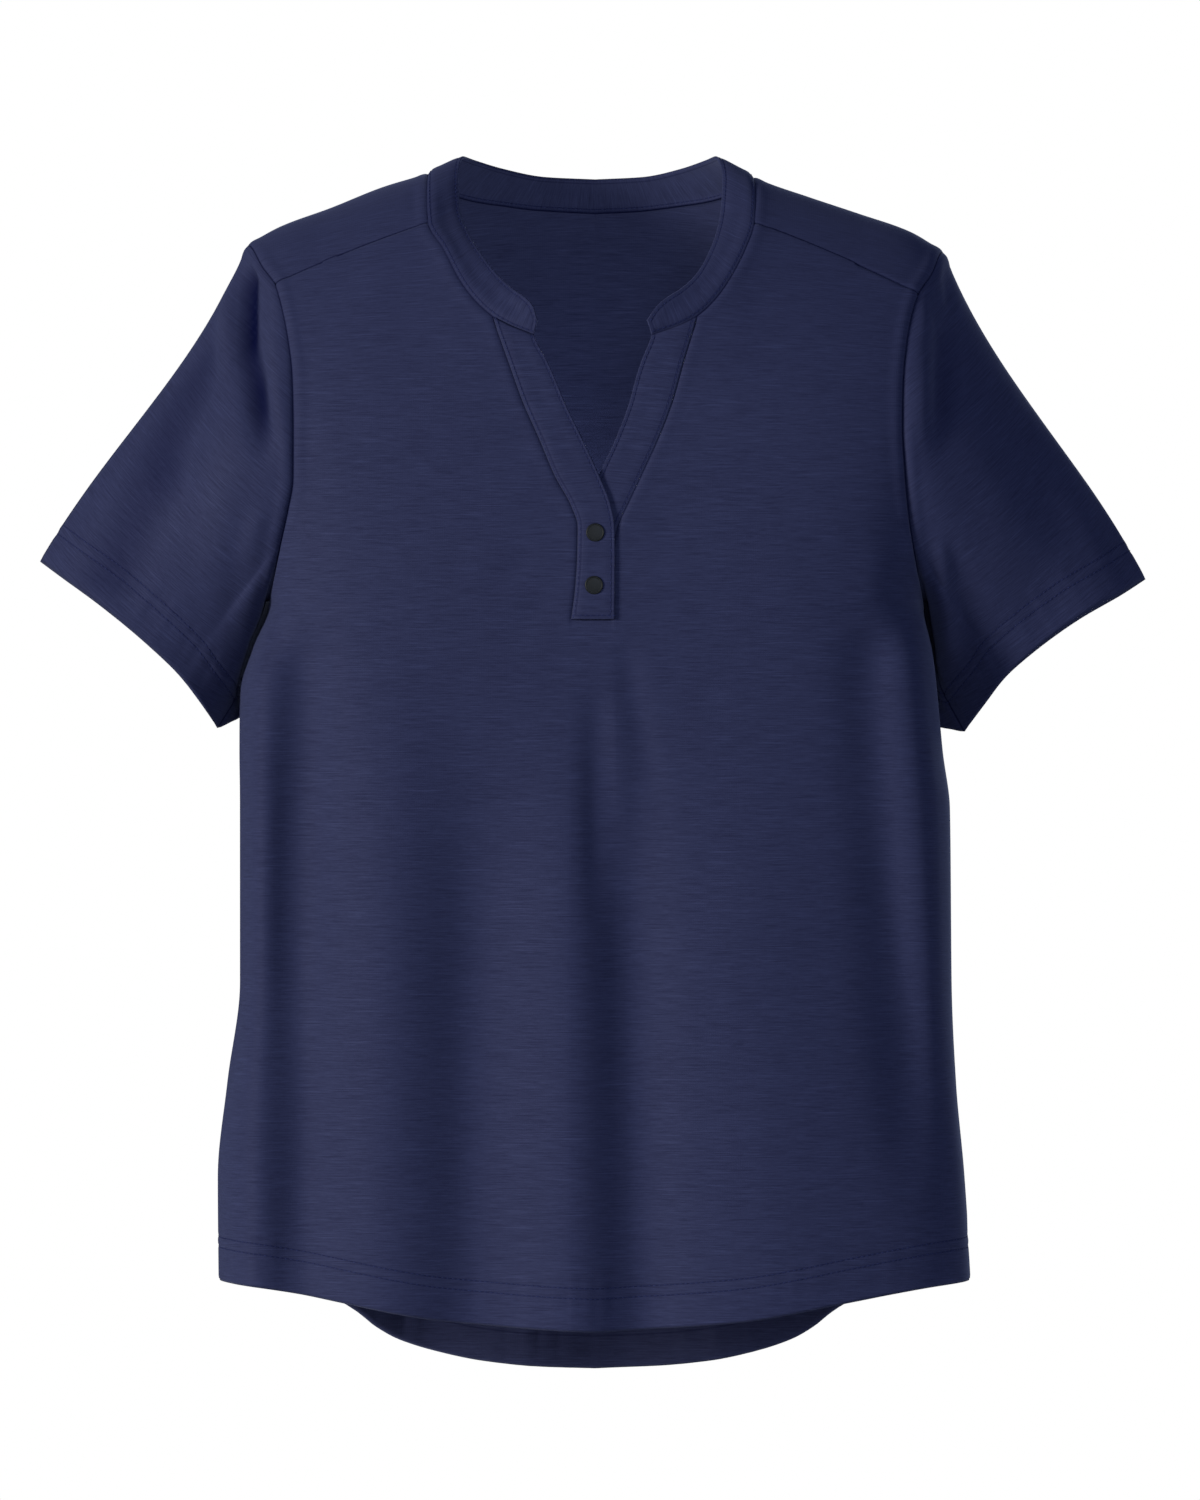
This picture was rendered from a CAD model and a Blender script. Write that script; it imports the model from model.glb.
"""Dresses a split-neck polo shirt: cloth on the form of its solids, with hems, seams, stitches and snaps.

The front faces -Y, +Z is up, and left and right are as the viewer sees them from the front. Tables and sizes
are in millimetres, and a mesh is brought to metres when it is finished.
"""
import logging
import math
from dataclasses import dataclass, field
from enum import Enum
from functools import partial
from typing import Callable, Iterable, Optional, Sequence

import bmesh
import bpy
import numpy as np
from mathutils import Matrix, Vector
from mathutils.bvhtree import BVHTree
from mathutils.kdtree import KDTree


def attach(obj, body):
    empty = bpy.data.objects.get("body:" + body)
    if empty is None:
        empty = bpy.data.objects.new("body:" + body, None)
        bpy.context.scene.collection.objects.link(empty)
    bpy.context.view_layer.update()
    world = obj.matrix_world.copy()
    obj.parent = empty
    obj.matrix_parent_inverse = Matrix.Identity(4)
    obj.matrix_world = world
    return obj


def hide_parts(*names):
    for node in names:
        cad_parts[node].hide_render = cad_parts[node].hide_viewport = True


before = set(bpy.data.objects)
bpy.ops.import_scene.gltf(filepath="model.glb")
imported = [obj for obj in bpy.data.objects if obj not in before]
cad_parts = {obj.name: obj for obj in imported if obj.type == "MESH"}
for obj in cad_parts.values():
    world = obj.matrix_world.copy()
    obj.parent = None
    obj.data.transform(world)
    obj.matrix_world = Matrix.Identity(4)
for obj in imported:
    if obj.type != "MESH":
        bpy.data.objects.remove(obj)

LOG = logging.getLogger("polo_shirt")
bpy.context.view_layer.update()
MM = 0.001
Array = np.ndarray
Reader = Callable[[Array], Array]
Curve = Callable[[Array], Array]
Colour = tuple[float, float, float, float]
Span = tuple[float, float]
Socket = bpy.types.NodeSocket

FINE_STEPS = 600                # steps by which a curve's length is measured
CLOSE_STEPS = (0.6, 1.3, 2.2, 3.6)      # distances from a seam at which a sheet has extra points
MERGE_DISTANCE = 1e-4           # points of a mesh nearer than this become one
SEAM_POINT_STEP = 0.002         # points nearer than this are one point of a seam
SEAM_SAMPLE_STEP = 0.4          # steps by which distances from a seam are measured


class Side(Enum):
    """The two sides of the shirt, as the viewer sees them from the front."""

    LEFT = "left"
    RIGHT = "right"

    @property
    def sign(self) -> float:
        """-1 on the left and 1 on the right."""
        return -1.0 if self is Side.LEFT else 1.0


class Face(Enum):
    """The front and the back of the shirt."""

    FRONT = "front"
    BACK = "back"

    @property
    def sign(self) -> float:
        """-1 in front and 1 behind."""
        return -1.0 if self is Face.FRONT else 1.0


# Curves and tables


def ease(t: Array) -> Array:
    """0 to 1 with level ends."""
    t = np.clip(t, 0.0, 1.0)
    return t * t * (3 - 2 * t)


def hump(distance: Array, width: float) -> Array:
    """A smooth rise of 1 at distance 0 that is gone at about twice the width."""
    return np.exp(-((distance / width) ** 2))


def smooth_slopes(x: Array, y: Array) -> Array:
    """Slopes for a cubic through the points that never swings past them."""
    step = np.diff(x)
    rise = np.diff(y) / step
    slope = np.zeros(len(x))
    for i in range(1, len(x) - 1):
        if rise[i - 1] * rise[i] > 0:
            before, after = 2 * step[i] + step[i - 1], step[i] + 2 * step[i - 1]
            slope[i] = (before + after) / (before / rise[i - 1] + after / rise[i])
    slope[0], slope[-1] = rise[0], rise[-1]
    return slope


def smooth_through(x: Array, y: Array) -> Reader:
    """A function for the smooth curve y(x) through the points."""
    order = np.argsort(x)
    x, y = np.asarray(x, float)[order], np.asarray(y, float)[order]
    slope = smooth_slopes(x, y)

    def read(at: Array) -> Array:
        at = np.clip(np.asarray(at, float), x[0], x[-1])
        i = np.clip(np.searchsorted(x, at) - 1, 0, len(x) - 2)
        width = x[i + 1] - x[i]
        t = (at - x[i]) / width
        start = (1 + 2 * t) * (1 - t) ** 2 * y[i] + t * (1 - t) ** 2 * width * slope[i]
        return start + t * t * (3 - 2 * t) * y[i + 1] + t * t * (t - 1) * width * slope[i + 1]

    return read


def along(points: Array) -> Array:
    """Distance of each point along its run."""
    steps = np.linalg.norm(np.diff(points, axis=0), axis=1)
    return np.concatenate([[0.0], np.cumsum(steps)])


def along_axis(points: Array, axis: int) -> Array:
    """Distance of each point of a grid along one of its two axes."""
    steps = np.linalg.norm(np.diff(points, axis=axis), axis=-1)
    zero = np.zeros_like(np.take(steps, [0], axis=axis))
    return np.concatenate([zero, np.cumsum(steps, axis=axis)], axis=axis)


def route(rows: Array) -> Curve:
    """A smooth function of t from 0 to 1 through rows of coordinates."""
    rows = np.asarray(rows, float)
    at = along(rows)
    at /= at[-1]
    reads = [smooth_through(at, rows[:, k]) for k in range(rows.shape[1])]
    return lambda t: np.stack([read(t) for read in reads], -1)


def even_along(points: Array, count: int) -> Array:
    """Places, from 0 to 1, that cut a run of points into equal lengths."""
    length = along(points)
    return np.interp(np.linspace(0, length[-1], count + 1), length, np.linspace(0, 1, len(points)))


@dataclass(frozen=True)
class Steps:
    """How a run is cut into cells: evenly, but close together beside a seam.

    Args:
        count: the number of cells.
        first: whether the run starts at a seam.
        last: whether it ends at one.
    """

    count: int
    first: bool = False
    last: bool = False

    def places(self, length: float) -> Array:
        """Places of the cells' ends, from 0 to 1, on a run of this length."""
        close = np.array(CLOSE_STEPS) / max(length, 4 * CLOSE_STEPS[-1])
        start = np.concatenate([[0.0], close]) if self.first else np.zeros(1)
        end = np.concatenate([1 - close[::-1], [1.0]]) if self.last else np.ones(1)
        middle = np.linspace(start[-1], end[0], self.count - len(start) - len(end) + 3)
        return np.concatenate([start, middle[1:-1], end])


def places_on(curve: Curve, steps: Steps) -> Array:
    """Places t, from 0 to 1, at which curve(t) has gone the steps' distances."""
    fine = np.linspace(0, 1, FINE_STEPS + 1)
    length = along(curve(fine))
    return np.interp(steps.places(length[-1]) * length[-1], length, fine)


def spread(curve: Curve, steps: Steps, ends: Sequence[Array] = ()) -> Array:
    """Points at the steps' distances along a curve, its ends put exactly at these where they are given."""
    row = curve(places_on(curve, steps))
    for place, end in zip((0, -1), ends):
        row[place] = end
    return row


@dataclass(frozen=True)
class Table:
    """A short table with named columns."""

    names: tuple[str, ...]
    rows: tuple[tuple, ...]

    def column(self, name: str) -> Array:
        """One column as an array."""
        place = self.names.index(name)
        return np.array([row[place] for row in self.rows], float)

    def readers(self, key: str) -> dict[str, Reader]:
        """A smooth function for each other column, read by the key column."""
        at = self.column(key)
        return {name: smooth_through(at, self.column(name)) for name in self.names if name != key}


# Outlines of the cut, the same as the solids'


TORSO = Table(("height", "left", "right", "front", "back"), (
    (60, 236, 236, 71, 98),
    (-50, 229, 229, 79, 102),
    (-140, 212, 213, 91, 103),
    (-200, 198, 200, 97, 100),
    (-256, 190, 191.5, 99, 96),
    (-285, 200.5, 196, 98, 94),
    (-310, 207.5, 199, 97, 92),
    (-345, 207.8, 202.5, 95, 90),
    (-378, 207.5, 207, 93, 88),
    (-480, 207.5, 208, 92, 87),
    (-540, 215, 211, 93, 92),
    (-595, 220.5, 216, 95, 98),
    (-655, 220, 219.5, 97, 102),
    (-720, 218, 221, 97, 104),
))
SHOULDER = Table(("out", "left", "right"), (
    (0, 22, 21),
    (50, 13.5, 11.5),
    (78, 3.8, 1),
    (98, -5, -9.5),
    (125, -13.5, -19),
    (155, -25.5, -29),
    (185, -36.5, -39.5),
    (205, -47.5, -51.5),
))
HEM = Table(("out", "front", "back"), (
    (0, -682, -712),
    (35, -680.3, -710.7),
    (67, -678, -707.5),
    (92, -675.5, -702.5),
    (117, -671.3, -694.5),
    (130, -668.8, -687),
    (141, -666.6, -678),
    (155, -664, -669.5),
    (175, -660.4, -662.5),
    (197, -657, -658),
    (225, -654, -654),
))
ARMHOLE_NAMES = ("left_out", "left_height", "right_out", "right_height")
ARMHOLE_OVER = Table(ARMHOLE_NAMES, (
    (204, -47.5, 205, -51.5),
    (195.7, -59.8, 198.3, -63.5),
    (187.3, -71.2, 189.3, -77.1),
))
ARMHOLE_FRONT = Table(ARMHOLE_NAMES, (
    (187.3, -71.2, 189.3, -77.1),
    (183, -86, 185, -91),
    (179.8, -101, 182, -107),
    (176.5, -127, 179.7, -131),
    (175.7, -155, 179.2, -155),
    (175.8, -186, 181, -187),
    (179, -205, 183.4, -210.5),
    (183.4, -224, 186.5, -230),
    (187, -241, 189.5, -245),
    (190, -256, 191.5, -256),
))
ARMHOLE_BACK = Table(ARMHOLE_NAMES, (
    (204, -47.5, 205, -51.5),
    (195, -74, 197, -78),
    (188, -107, 190, -110),
    (185.5, -142, 187.5, -145),
    (185.5, -178, 187.5, -180),
    (187, -212, 188.5, -212),
    (189, -240, 190.5, -240),
    (190, -256, 191.5, -256),
))
NECK_NAMES = ("seam_left", "seam_right", "seam_height", "edge_left", "edge_right", "edge_y", "edge_height")
NECK_BACK = Table(NECK_NAMES, (
    (0, 0, -25, 0, 0, 60, -6.4),
    (37, 35, -23, 29.5, 28, 55, -5.2),
    (69, 65.5, -19, 54, 50.5, 41.5, -1),
    (89, 84.5, -13, 70, 64.5, 22, 3),
    (98, 93, None, 77.5, 71, 0, 4.7),
))
NECK_OVER = Table(NECK_NAMES, (
    (98, 93, None, 77.5, 71, 0, 4.7),
    (98.5, 94, -19.5, 80.5, 75, -17, -9),
    (97.5, 93, -35.5, 79.5, 74, -32, -27),
))
NECK_FRONT = Table(NECK_NAMES, (
    (97.5, 93, -35.5, 79.5, 74, -32, -27),
    (88.4, 87.8, -51, 74, 71, -45.5, -42),
    (79.2, 78.6, -69, 65.5, 65.5, -58, -56),
    (70.6, 70.2, -81, 57, 59, -67, -67),
    (59.5, 59.3, -91.3, 47.8, 50, -75, -75.5),
))
NECK_END = Table(NECK_NAMES, (
    (59.5, 59.3, -91.3, 47.8, 50, -75, -75.5),
    (50.5, 49.8, -96.6, 41.5, 43, -79.5, -80),
    (43, 41.2, -99.8, 36.5, 36.5, -83, -85),
    (35.6, 33.1, -102.5, 33.6, 30.4, -85.5, -94),
))
PLACKET = Table(("height", "over_outer", "over_inner", "under_inner", "under_outer"), (
    (-91.3, -59.5, -36.5, 33.5, 59.3),
    (-103, -55.5, -34.2, 31.2, 55.8),
    (-117, -50.5, -27.5, 26.3, 51.5),
    (-142, -41.5, -17.5, 20, 44.5),
    (-162, -32.5, -8, 12.5, 37),
    (-185, -22.7, 2.6, 2.2, 26.6),
    (-202, -13.4, 9.2, -4, 18.6),
    (-214, -9.6, 11.3, -5.5, 13),
    (-231, -9.9, 11.6, -5.5, 9.6),
    (-251, -11.2, 11.5, -5.5, 9.2),
    (-268, -13.4, 11.3, -5.5, 9.2),
))
CUFF_NAMES = ("left_out", "left_y", "left_height", "right_out", "right_y", "right_height")
CUFF_FRONT = Table(CUFF_NAMES, (
    (221.7, 4, -331, 217, 5, -333),
    (229, -15, -319.5, 228.5, -14, -317),
    (243, -30, -300.5, 240, -29, -301.5),
    (262, -36, -282, 256, -36, -287),
    (288, -34, -260.5, 283, -34, -267.5),
    (311, -23, -243.8, 309, -22, -252.5),
    (326, 0, -233, 323.4, 0, -243.4),
))
CUFF_BACK = Table(CUFF_NAMES, (
    (221.7, 4, -331, 217, 5, -333),
    (203, 27, -318.5, 196, 28, -327),
    (215, 42, -303, 209, 43, -310),
    (258, 41, -277, 252, 42, -282),
    (292, 32, -251, 288, 33, -259),
    (314, 18, -238, 311, 19, -247.5),
    (326, 0, -233, 323.4, 0, -243.4),
))
BULGE = Table(("way_round", "bulge"), (
    (0, -0.75),
    (0.15, -0.55),
    (0.35, 0.2),
    (0.65, 0.4),
    (0.88, 0.28),
    (1, 0.2),
))
FOLD_NAMES = ("top_x", "top_height", "foot_x", "foot_height", "half_width", "rise")
FRONT_FOLDS = Table(FOLD_NAMES, (
    (-198, -160, -201, -730, 14, 8.5),
    (-167, -160, -168, -730, 19, -8.5),
    (-118, -240, -121, -740, 26, 6),
    (-69, -310, -71, -740, 24, -8),
    (-13, -290, -12, -740, 25, 8.5),
    (14, -270, 30, -740, 22, -8),
    (84, -300, 104, -740, 50, 7.5),
    (150, -160, 189, -640, 17, -7.5),
    (176, -160, 208, -600, 14, 7),
))
BACK_FOLDS = Table(FOLD_NAMES, (
    (-140, -230, -150, -740, 22, -3.5),
    (-96, -280, -100, -740, 24, 4),
    (-44, -250, -36, -740, 24, -4.5),
    (14, -310, 20, -740, 22, 4),
    (62, -240, 78, -740, 24, -4.5),
    (118, -290, 132, -740, 22, 4),
    (158, -330, 170, -640, 16, -3),
))


@dataclass(frozen=True)
class Crease:
    """A soft ridge or trough along a straight line of the front view.

    Args:
        start: x and height of its start.
        end: x and height of its end.
        width: half width.
        rise: how far it stands out of the cloth, or goes in where it is negative.
        grow: share of its length over which it grows.
        fade: share over which it dies.
    """

    start: tuple[float, float]
    end: tuple[float, float]
    width: float
    rise: float
    grow: float
    fade: float

    def at(self, x: Array, height: Array) -> Array:
        """Its rise at each place."""
        run = np.array(self.end) - np.array(self.start)
        length = float(np.linalg.norm(run))
        way = ((x - self.start[0]) * run[0] + (height - self.start[1]) * run[1]) / length ** 2
        off = ((x - self.start[0]) * run[1] - (height - self.start[1]) * run[0]) / length
        grown = ease(way / self.grow) * ease((1 - way) / self.fade)
        return self.rise * grown * hump(off, self.width)


def creases(*rows: tuple[float, ...], ends: tuple[float, ...] = ()) -> tuple[Crease, ...]:
    """Creases from rows of numbers.

    Args:
        rows: start x and height, end x and height, width, rise, grow and fade.
        ends: grow and fade where the rows leave them out.
    """
    return tuple(Crease(row[:2], row[2:4], *row[4:], *ends) for row in rows)


def creased(lines: Iterable[Crease], points: Array) -> Array:
    """The sum of some creases' rises at each point."""
    total = np.zeros(points.shape[:-1])
    for crease in lines:
        total += crease.at(points[..., 0], points[..., 2])
    return total


def calmed(roll: Array, points: Array) -> Array:
    """The armhole's relief, weakened near the tip of the shoulder."""
    return roll * (1 - CALM_SHARE * ease((points[..., 2] - CALM_HEIGHT) / CALM_REACH))


RIPPLE_PARTS = (0.62, 0.85, 1.0, 1.37, 1.9)     # wavelengths of a ripple's waves, as shares of its own
RIPPLE_SUM = 2.4                # height that its waves reach together, about


@dataclass(frozen=True)
class Ripple:
    """An uneven ripple, made of a few waves of fixed phases.

    Args:
        length: its middle wavelength.
        rise: its greatest height, about.
        seed: which of the many such ripples it is.
    """

    length: float
    rise: float
    seed: int

    def at(self, distance: Array) -> Array:
        """Its height at each distance along its line."""
        random = np.random.RandomState(self.seed)
        total = np.zeros_like(distance)
        for part in RIPPLE_PARTS:
            wave = self.length * part
            total = total + random.uniform(0.4, 1.0) * np.sin(
                2 * math.pi * distance / wave + random.uniform(0, 2 * math.pi))
        slow = 0.5 + 0.5 * np.sin(distance / self.length * random.uniform(0.5, 0.9) + random.uniform(0, 6))
        return self.rise * total * slow / RIPPLE_SUM


# Creases


FRONT_CREASES = creases(
    (15.5, -274, 41, -405, 7, -1.7, 0.2, 0.6),
    (0, -292, 1, -470, 8.5, -2.3, 0.3, 0.5),
    (10, -300, 21, -430, 6, 1.1, 0.3, 0.5),
    (-167, -256, -181, -560, 15, -5.6, 0.12, 0.4),
    (-168, -380, -172, -700, 10, -1.6, 0.3, 0.3),
    (163, -280, 172, -430, 15, 2.2, 0.3, 0.4),
    (176, -258, 186, -560, 19, 4.6, 0.15, 0.4),
    (-178, -150, -150, -215, 11, -0.7, 0.3, 0.6),
    (-176, -232, -140, -330, 13, 1.6, 0.3, 0.6),
    (172, -215, 146, -300, 12, 1.4, 0.3, 0.6),
    (-30, -226, -74, -262, 8, -0.7, 0.3, 0.7),
    (28, -206, 72, -232, 8, -0.6, 0.3, 0.7),
    (-26, -250, -60, -296, 9, -0.6, 0.3, 0.7),
    (-120, -470, -40, -505, 16, -0.7, 0.5, 0.5),
    (60, -500, 150, -470, 16, -0.7, 0.5, 0.5),
    (-165, -560, -90, -600, 14, 0.6, 0.5, 0.5),
)
BACK_CREASES = creases(
    (-104, -12, -108, -34, 4, -0.8, 0.3, 0.5),
    (-176, -160, -130, -250, 13, -1.6, 0.3, 0.6),
    (-180, -225, -110, -330, 14, 2, 0.3, 0.6),
    (-160, -240, -70, -350, 11, -1.5, 0.3, 0.6),
    (178, -165, 134, -240, 13, -1.5, 0.3, 0.6),
    (180, -230, 120, -320, 14, 1.9, 0.3, 0.6),
    (158, -245, 84, -350, 11, -1.4, 0.3, 0.6),
    (-60, -120, -20, -190, 16, -0.9, 0.5, 0.5),
    (70, -130, 30, -200, 16, -0.8, 0.5, 0.5),
    (-120, -430, 10, -480, 18, -1.2, 0.5, 0.5),
    (120, -450, -10, -500, 18, -1.1, 0.5, 0.5),
    (-90, -560, 60, -590, 18, 1, 0.5, 0.5),
)
LEFT_FRONT_CREASES = creases(
    (-205.5, -53, -204, -130, 6.5, -8.5, 0.2, 0.5),
    (-204.5, -92, -190, -188, 7.5, -7.5, 0.45, 0.5),
    (-214, -48, -217, -150, 6.5, 5.5, 0.15, 0.6),
    (-190.5, -80, -183, -172, 5, 2.4, 0.3, 0.4),
    (-214, -120, -222, -270, 15, 3.4, 0.4, 0.5),
    (-214, -70, -292, -262, 20, -3.6, 0.25, 0.1),
    (-220, -66, -305, -216, 9, 0.8, 0.3, 0.2),
    (-205, -185, -216, -300, 8, -1, 0.4, 0.4),
    (-192, -196, -206, -240, 6, 1.5, 0.4, 0.4),
    (-262, -150, -236, -215, 12, -0.9, 0.5, 0.5),
)
RIGHT_FRONT_CREASES = creases(
    (193, -72, 190, -178, 6.5, 3.6, 0.25, 0.4),
    (206, -78, 202, -200, 12, -3.2, 0.3, 0.5),
    (208.5, -52, 208, -98, 4, -2.6, 0.2, 0.6),
    (199.5, -212, 211, -300, 5.5, 3.8, 0.35, 0.3),
    (208, -220, 220, -305, 9, -1.8, 0.4, 0.4),
    (225, -130, 247, -275, 18, 1.8, 0.4, 0.3),
    (240, -140, 286, -250, 16, -1.6, 0.4, 0.3),
    (228, -104, 306, -226, 10, 1.4, 0.3, 0.3),
)
LEFT_BACK_CREASES = creases(
    (-204, -60, -210, -170, 9, -3.4, 0.2, 0.6),
    (-196, -130, -222, -260, 11, 2.6, 0.4, 0.5),
    (-216, -90, -262, -240, 14, -3, 0.3, 0.4),
    (-230, -90, -298, -215, 10, 2.2, 0.3, 0.3),
)
RIGHT_BACK_CREASES = creases(
    (205, -64, 212, -180, 9, -3.2, 0.2, 0.6),
    (197, -140, 224, -268, 11, 2.6, 0.4, 0.5),
    (218, -98, 258, -236, 14, -2.8, 0.3, 0.4),
    (232, -98, 296, -220, 10, 2, 0.3, 0.3),
)
SMALL_ENDS = (0.4, 0.4)
BAND_CREASES = creases(
    (-92, -20, -84, -34, 3, -0.45),
    (-90, -33, -80, -48, 3.2, -0.5),
    (-84, -45, -73, -60, 3, -0.5),
    (-76, -58, -64, -72, 3, -0.45),
    (-66, -70, -52, -82, 3.2, -0.5),
    (-54, -80, -40, -92, 3, -0.4),
    (90, -24, 80, -38, 3, -0.45),
    (86, -40, 75, -54, 3, -0.5),
    (79, -54, 67, -68, 3.2, -0.5),
    (69, -68, 55, -80, 3, -0.45),
    (56, -79, 41, -90, 3.2, -0.45),
    ends=SMALL_ENDS,
)
OVER_CREASES = creases(
    (-46, -112, -34, -122, 3.5, -0.35),
    (-38, -134, -24, -146, 3.5, -0.4),
    (-26, -162, -10, -172, 3.5, -0.4),
    (-12, -192, 6, -200, 3.5, -0.4),
    (-9, -232, 9, -235, 3.5, -0.4),
    ends=SMALL_ENDS,
)
UNDER_CREASES = creases(
    (44, -114, 34, -126, 3.5, -0.35),
    (36, -140, 24, -150, 3.5, -0.4),
    (26, -164, 14, -176, 3.5, -0.35),
    ends=SMALL_ENDS,
)
CREASE_FADE = 8.0               # distance from a seam over which creases fade
CALM_HEIGHT, CALM_REACH = -62.0, 30.0   # from where, and over which height, the armhole's roll weakens
CALM_SHARE = 0.8                # by how much, so that the shoulder's tip is smooth
NORMAL_ROUNDS = 3               # rounds of smoothing of the normals that points are raised along
NEIGHBOUR_SHARE = 0.5           # how much a neighbour counts in them
FAR = 1e6                       # a distance from the hem that means none
SINGLE, DOUBLE = 0.8, 1.6       # thickness of one layer of cloth and of two
HEM_DEPTH, HEM_GAP = 25.0, 1.0  # how far the hems turn up inside, and the gap between their layers
HEM_ZONE = 60.0                 # distance from the edge within which a hem has relief
AT_EDGE = 0.01                  # distance from the edge below which a point is on it


@dataclass(frozen=True)
class BodyForm:
    """The surface that the front, back and neck lie on, as the solids have it.

    Args:
        front_squareness: power of the section's oval in front.
        back_squareness: and behind.
        shoulder_drop: radius of the bend over the shoulders.
        middle_blend: width over which the left side's sizes give way to the right's.
        fold_side_fade: distance from the body's edge over which the long folds fade.
        fold_top: height at which they begin.
        fold_top_fade: height over which they do so.
        fold_growth: share of a fold's length over which it grows from its top.
        fold_end: share over which it dies at its foot.
        hem_reach: a fold whose foot is below this height runs through the hem.
        torso: half widths and depths of the body by height.
        shoulder: heights of the shoulder line by distance from the middle.
        hem: heights of the hem by distance from the middle.
    """

    front_squareness: float = 4.0
    back_squareness: float = 2.4
    shoulder_drop: float = 150.0
    middle_blend: float = 60.0
    fold_side_fade: float = 12.0
    fold_top: float = -250.0
    fold_top_fade: float = 45.0
    fold_growth: float = 0.4
    fold_end: float = 0.3
    hem_reach: float = -700.0
    torso: dict = field(default_factory=lambda: TORSO.readers("height"))
    shoulder: dict = field(default_factory=lambda: SHOULDER.readers("out"))
    hem: dict = field(default_factory=lambda: HEM.readers("out"))

    def by_side(self, x: Array, left: Array, right: Array) -> Array:
        """The left value below zero and the right one above, eased across the middle."""
        share = ease(np.asarray(x, float) / self.middle_blend + 0.5)
        return left * (1 - share) + right * share

    def shoulder_line(self, x: Array) -> Array:
        """Height of the shoulder line at x."""
        out = np.abs(x)
        return self.by_side(x, self.shoulder["left"](out), self.shoulder["right"](out))

    def half_width(self, x: Array, height: Array) -> Array:
        """Half width of the body's section on the side of x."""
        return self.by_side(x, self.torso["left"](height), self.torso["right"](height))

    def over_from_height(self, x: Array, height: Array) -> Array:
        """Distance over the shoulder, from its line, at which the surface has this height."""
        drop = self.shoulder_line(x) - height
        bend = np.arccos(np.clip(1 - drop / self.shoulder_drop, 0.0, 1.0))
        round_part = self.shoulder_drop * bend
        straight_part = self.shoulder_drop * (math.pi / 2 - 1) + drop
        return np.where(drop < self.shoulder_drop, round_part, straight_part)

    def point(self, x: Array, over: Array) -> Array:
        """The surface, before its folds, at x and at a distance over the shoulder (back is positive)."""
        x, over = np.broadcast_arrays(np.asarray(x, float), np.asarray(over, float))
        drop = self.shoulder_drop
        bend = np.minimum(np.abs(over) / drop, math.pi / 2)
        past = np.maximum(np.abs(over) - drop * math.pi / 2, 0.0)
        height = self.shoulder_line(x) - drop * (1 - np.cos(bend)) - past
        share = np.clip(np.abs(x) / self.half_width(x, height), 0.0, 1.0)
        power = np.where(over < 0, self.front_squareness, self.back_squareness)
        oval = (1 - share ** power) ** (1 / power)
        depth = np.where(over < 0, self.torso["front"](height), self.torso["back"](height))
        return np.stack([x, np.sign(over) * depth * oval * np.sin(bend), height], -1)

    def on_face(self, face: Face, x: Array, height: Array) -> Array:
        """The surface's point at x and a height of the front or the back."""
        return self.point(x, face.sign * self.over_from_height(x, height))

    def length_down(self, points: Array) -> Array:
        """Minus the distance from the neck point's level down the cloth, for the grain of the knit."""
        x, _, height = np.moveaxis(points, -1, 0)
        line = self.shoulder_line(x)
        return line - self.over_from_height(x, np.minimum(height, line))

    def fold_rise(self, folds: Table, x: Array, height: Array) -> Array:
        """Sum of the rises of the long folds at a place of the front or the back."""
        total = np.zeros(np.broadcast(x, height).shape)
        for top_x, top, foot_x, foot, width, rise in folds.rows:
            way = (top - height) / (top - foot)
            middle = top_x + (foot_x - top_x) * np.clip(way, 0.0, 1.0)
            ends = ease((1 - way) / self.fold_end) if foot > self.hem_reach else 1.0
            total += rise * ease(way / self.fold_growth) * ends * hump(x - middle, width)
        return total

    def folded(self, points: Array, face: Face, folds: Table) -> Array:
        """The points moved by the folds, which die away towards the side seam and the armhole."""
        points = points.copy()
        x, height = points[..., 0], points[..., 2]
        fade = ease((self.half_width(x, height) - np.abs(x)) / self.fold_side_fade)
        low = ease((self.fold_top - height) / self.fold_top_fade)
        points[..., 1] += face.sign * fade * low * self.fold_rise(folds, x, height)
        return points


# Seams and grids of points


@dataclass(frozen=True)
class Counts:
    """How many cells the fine cloth has in each direction."""

    hem: int = 22               # rows within the hem
    body: int = 108             # rows from there to the underarm
    strip: int = 60             # placket's end to the strip's top corner
    band: int = 18              # strip's top corner to the forward shoulder seam
    back_centre: int = 76       # underarm level to the back neck
    back_neck: int = 40         # back neck's centre to the shoulder line
    over: int = 12              # shoulder line to the forward shoulder seam
    half: int = 74              # side to middle
    notch: int = 12             # across the placket's end
    strip_across: int = 14
    band_across: int = 16
    sleeve: int = 66
    sleeve_hem: int = 22


HEM_REACH = 32.0                # height of the hem's close rows
UNDERARM = -256.0               # height of the underarms
UNDERARM_DIP = 16.0             # how far a row beside an underarm dips at the side seam
DIP_SHARE = 0.0012              # share of the row over which it does so
PLACKET_FOOT = -268.0           # height of the placket's foot
FORWARD_BOW = 1.5               # how far the forward shoulder seam bows up
CORNER_SHARE = 0.2              # share of a strip's edge that leads to the neckband's corner
NEAR_EDGE = 20.0                # a row that starts less deep than this starts steeply at the body's edge
AT_SEAM = 1.0                   # depth within which a row starts at the side seam


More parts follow.
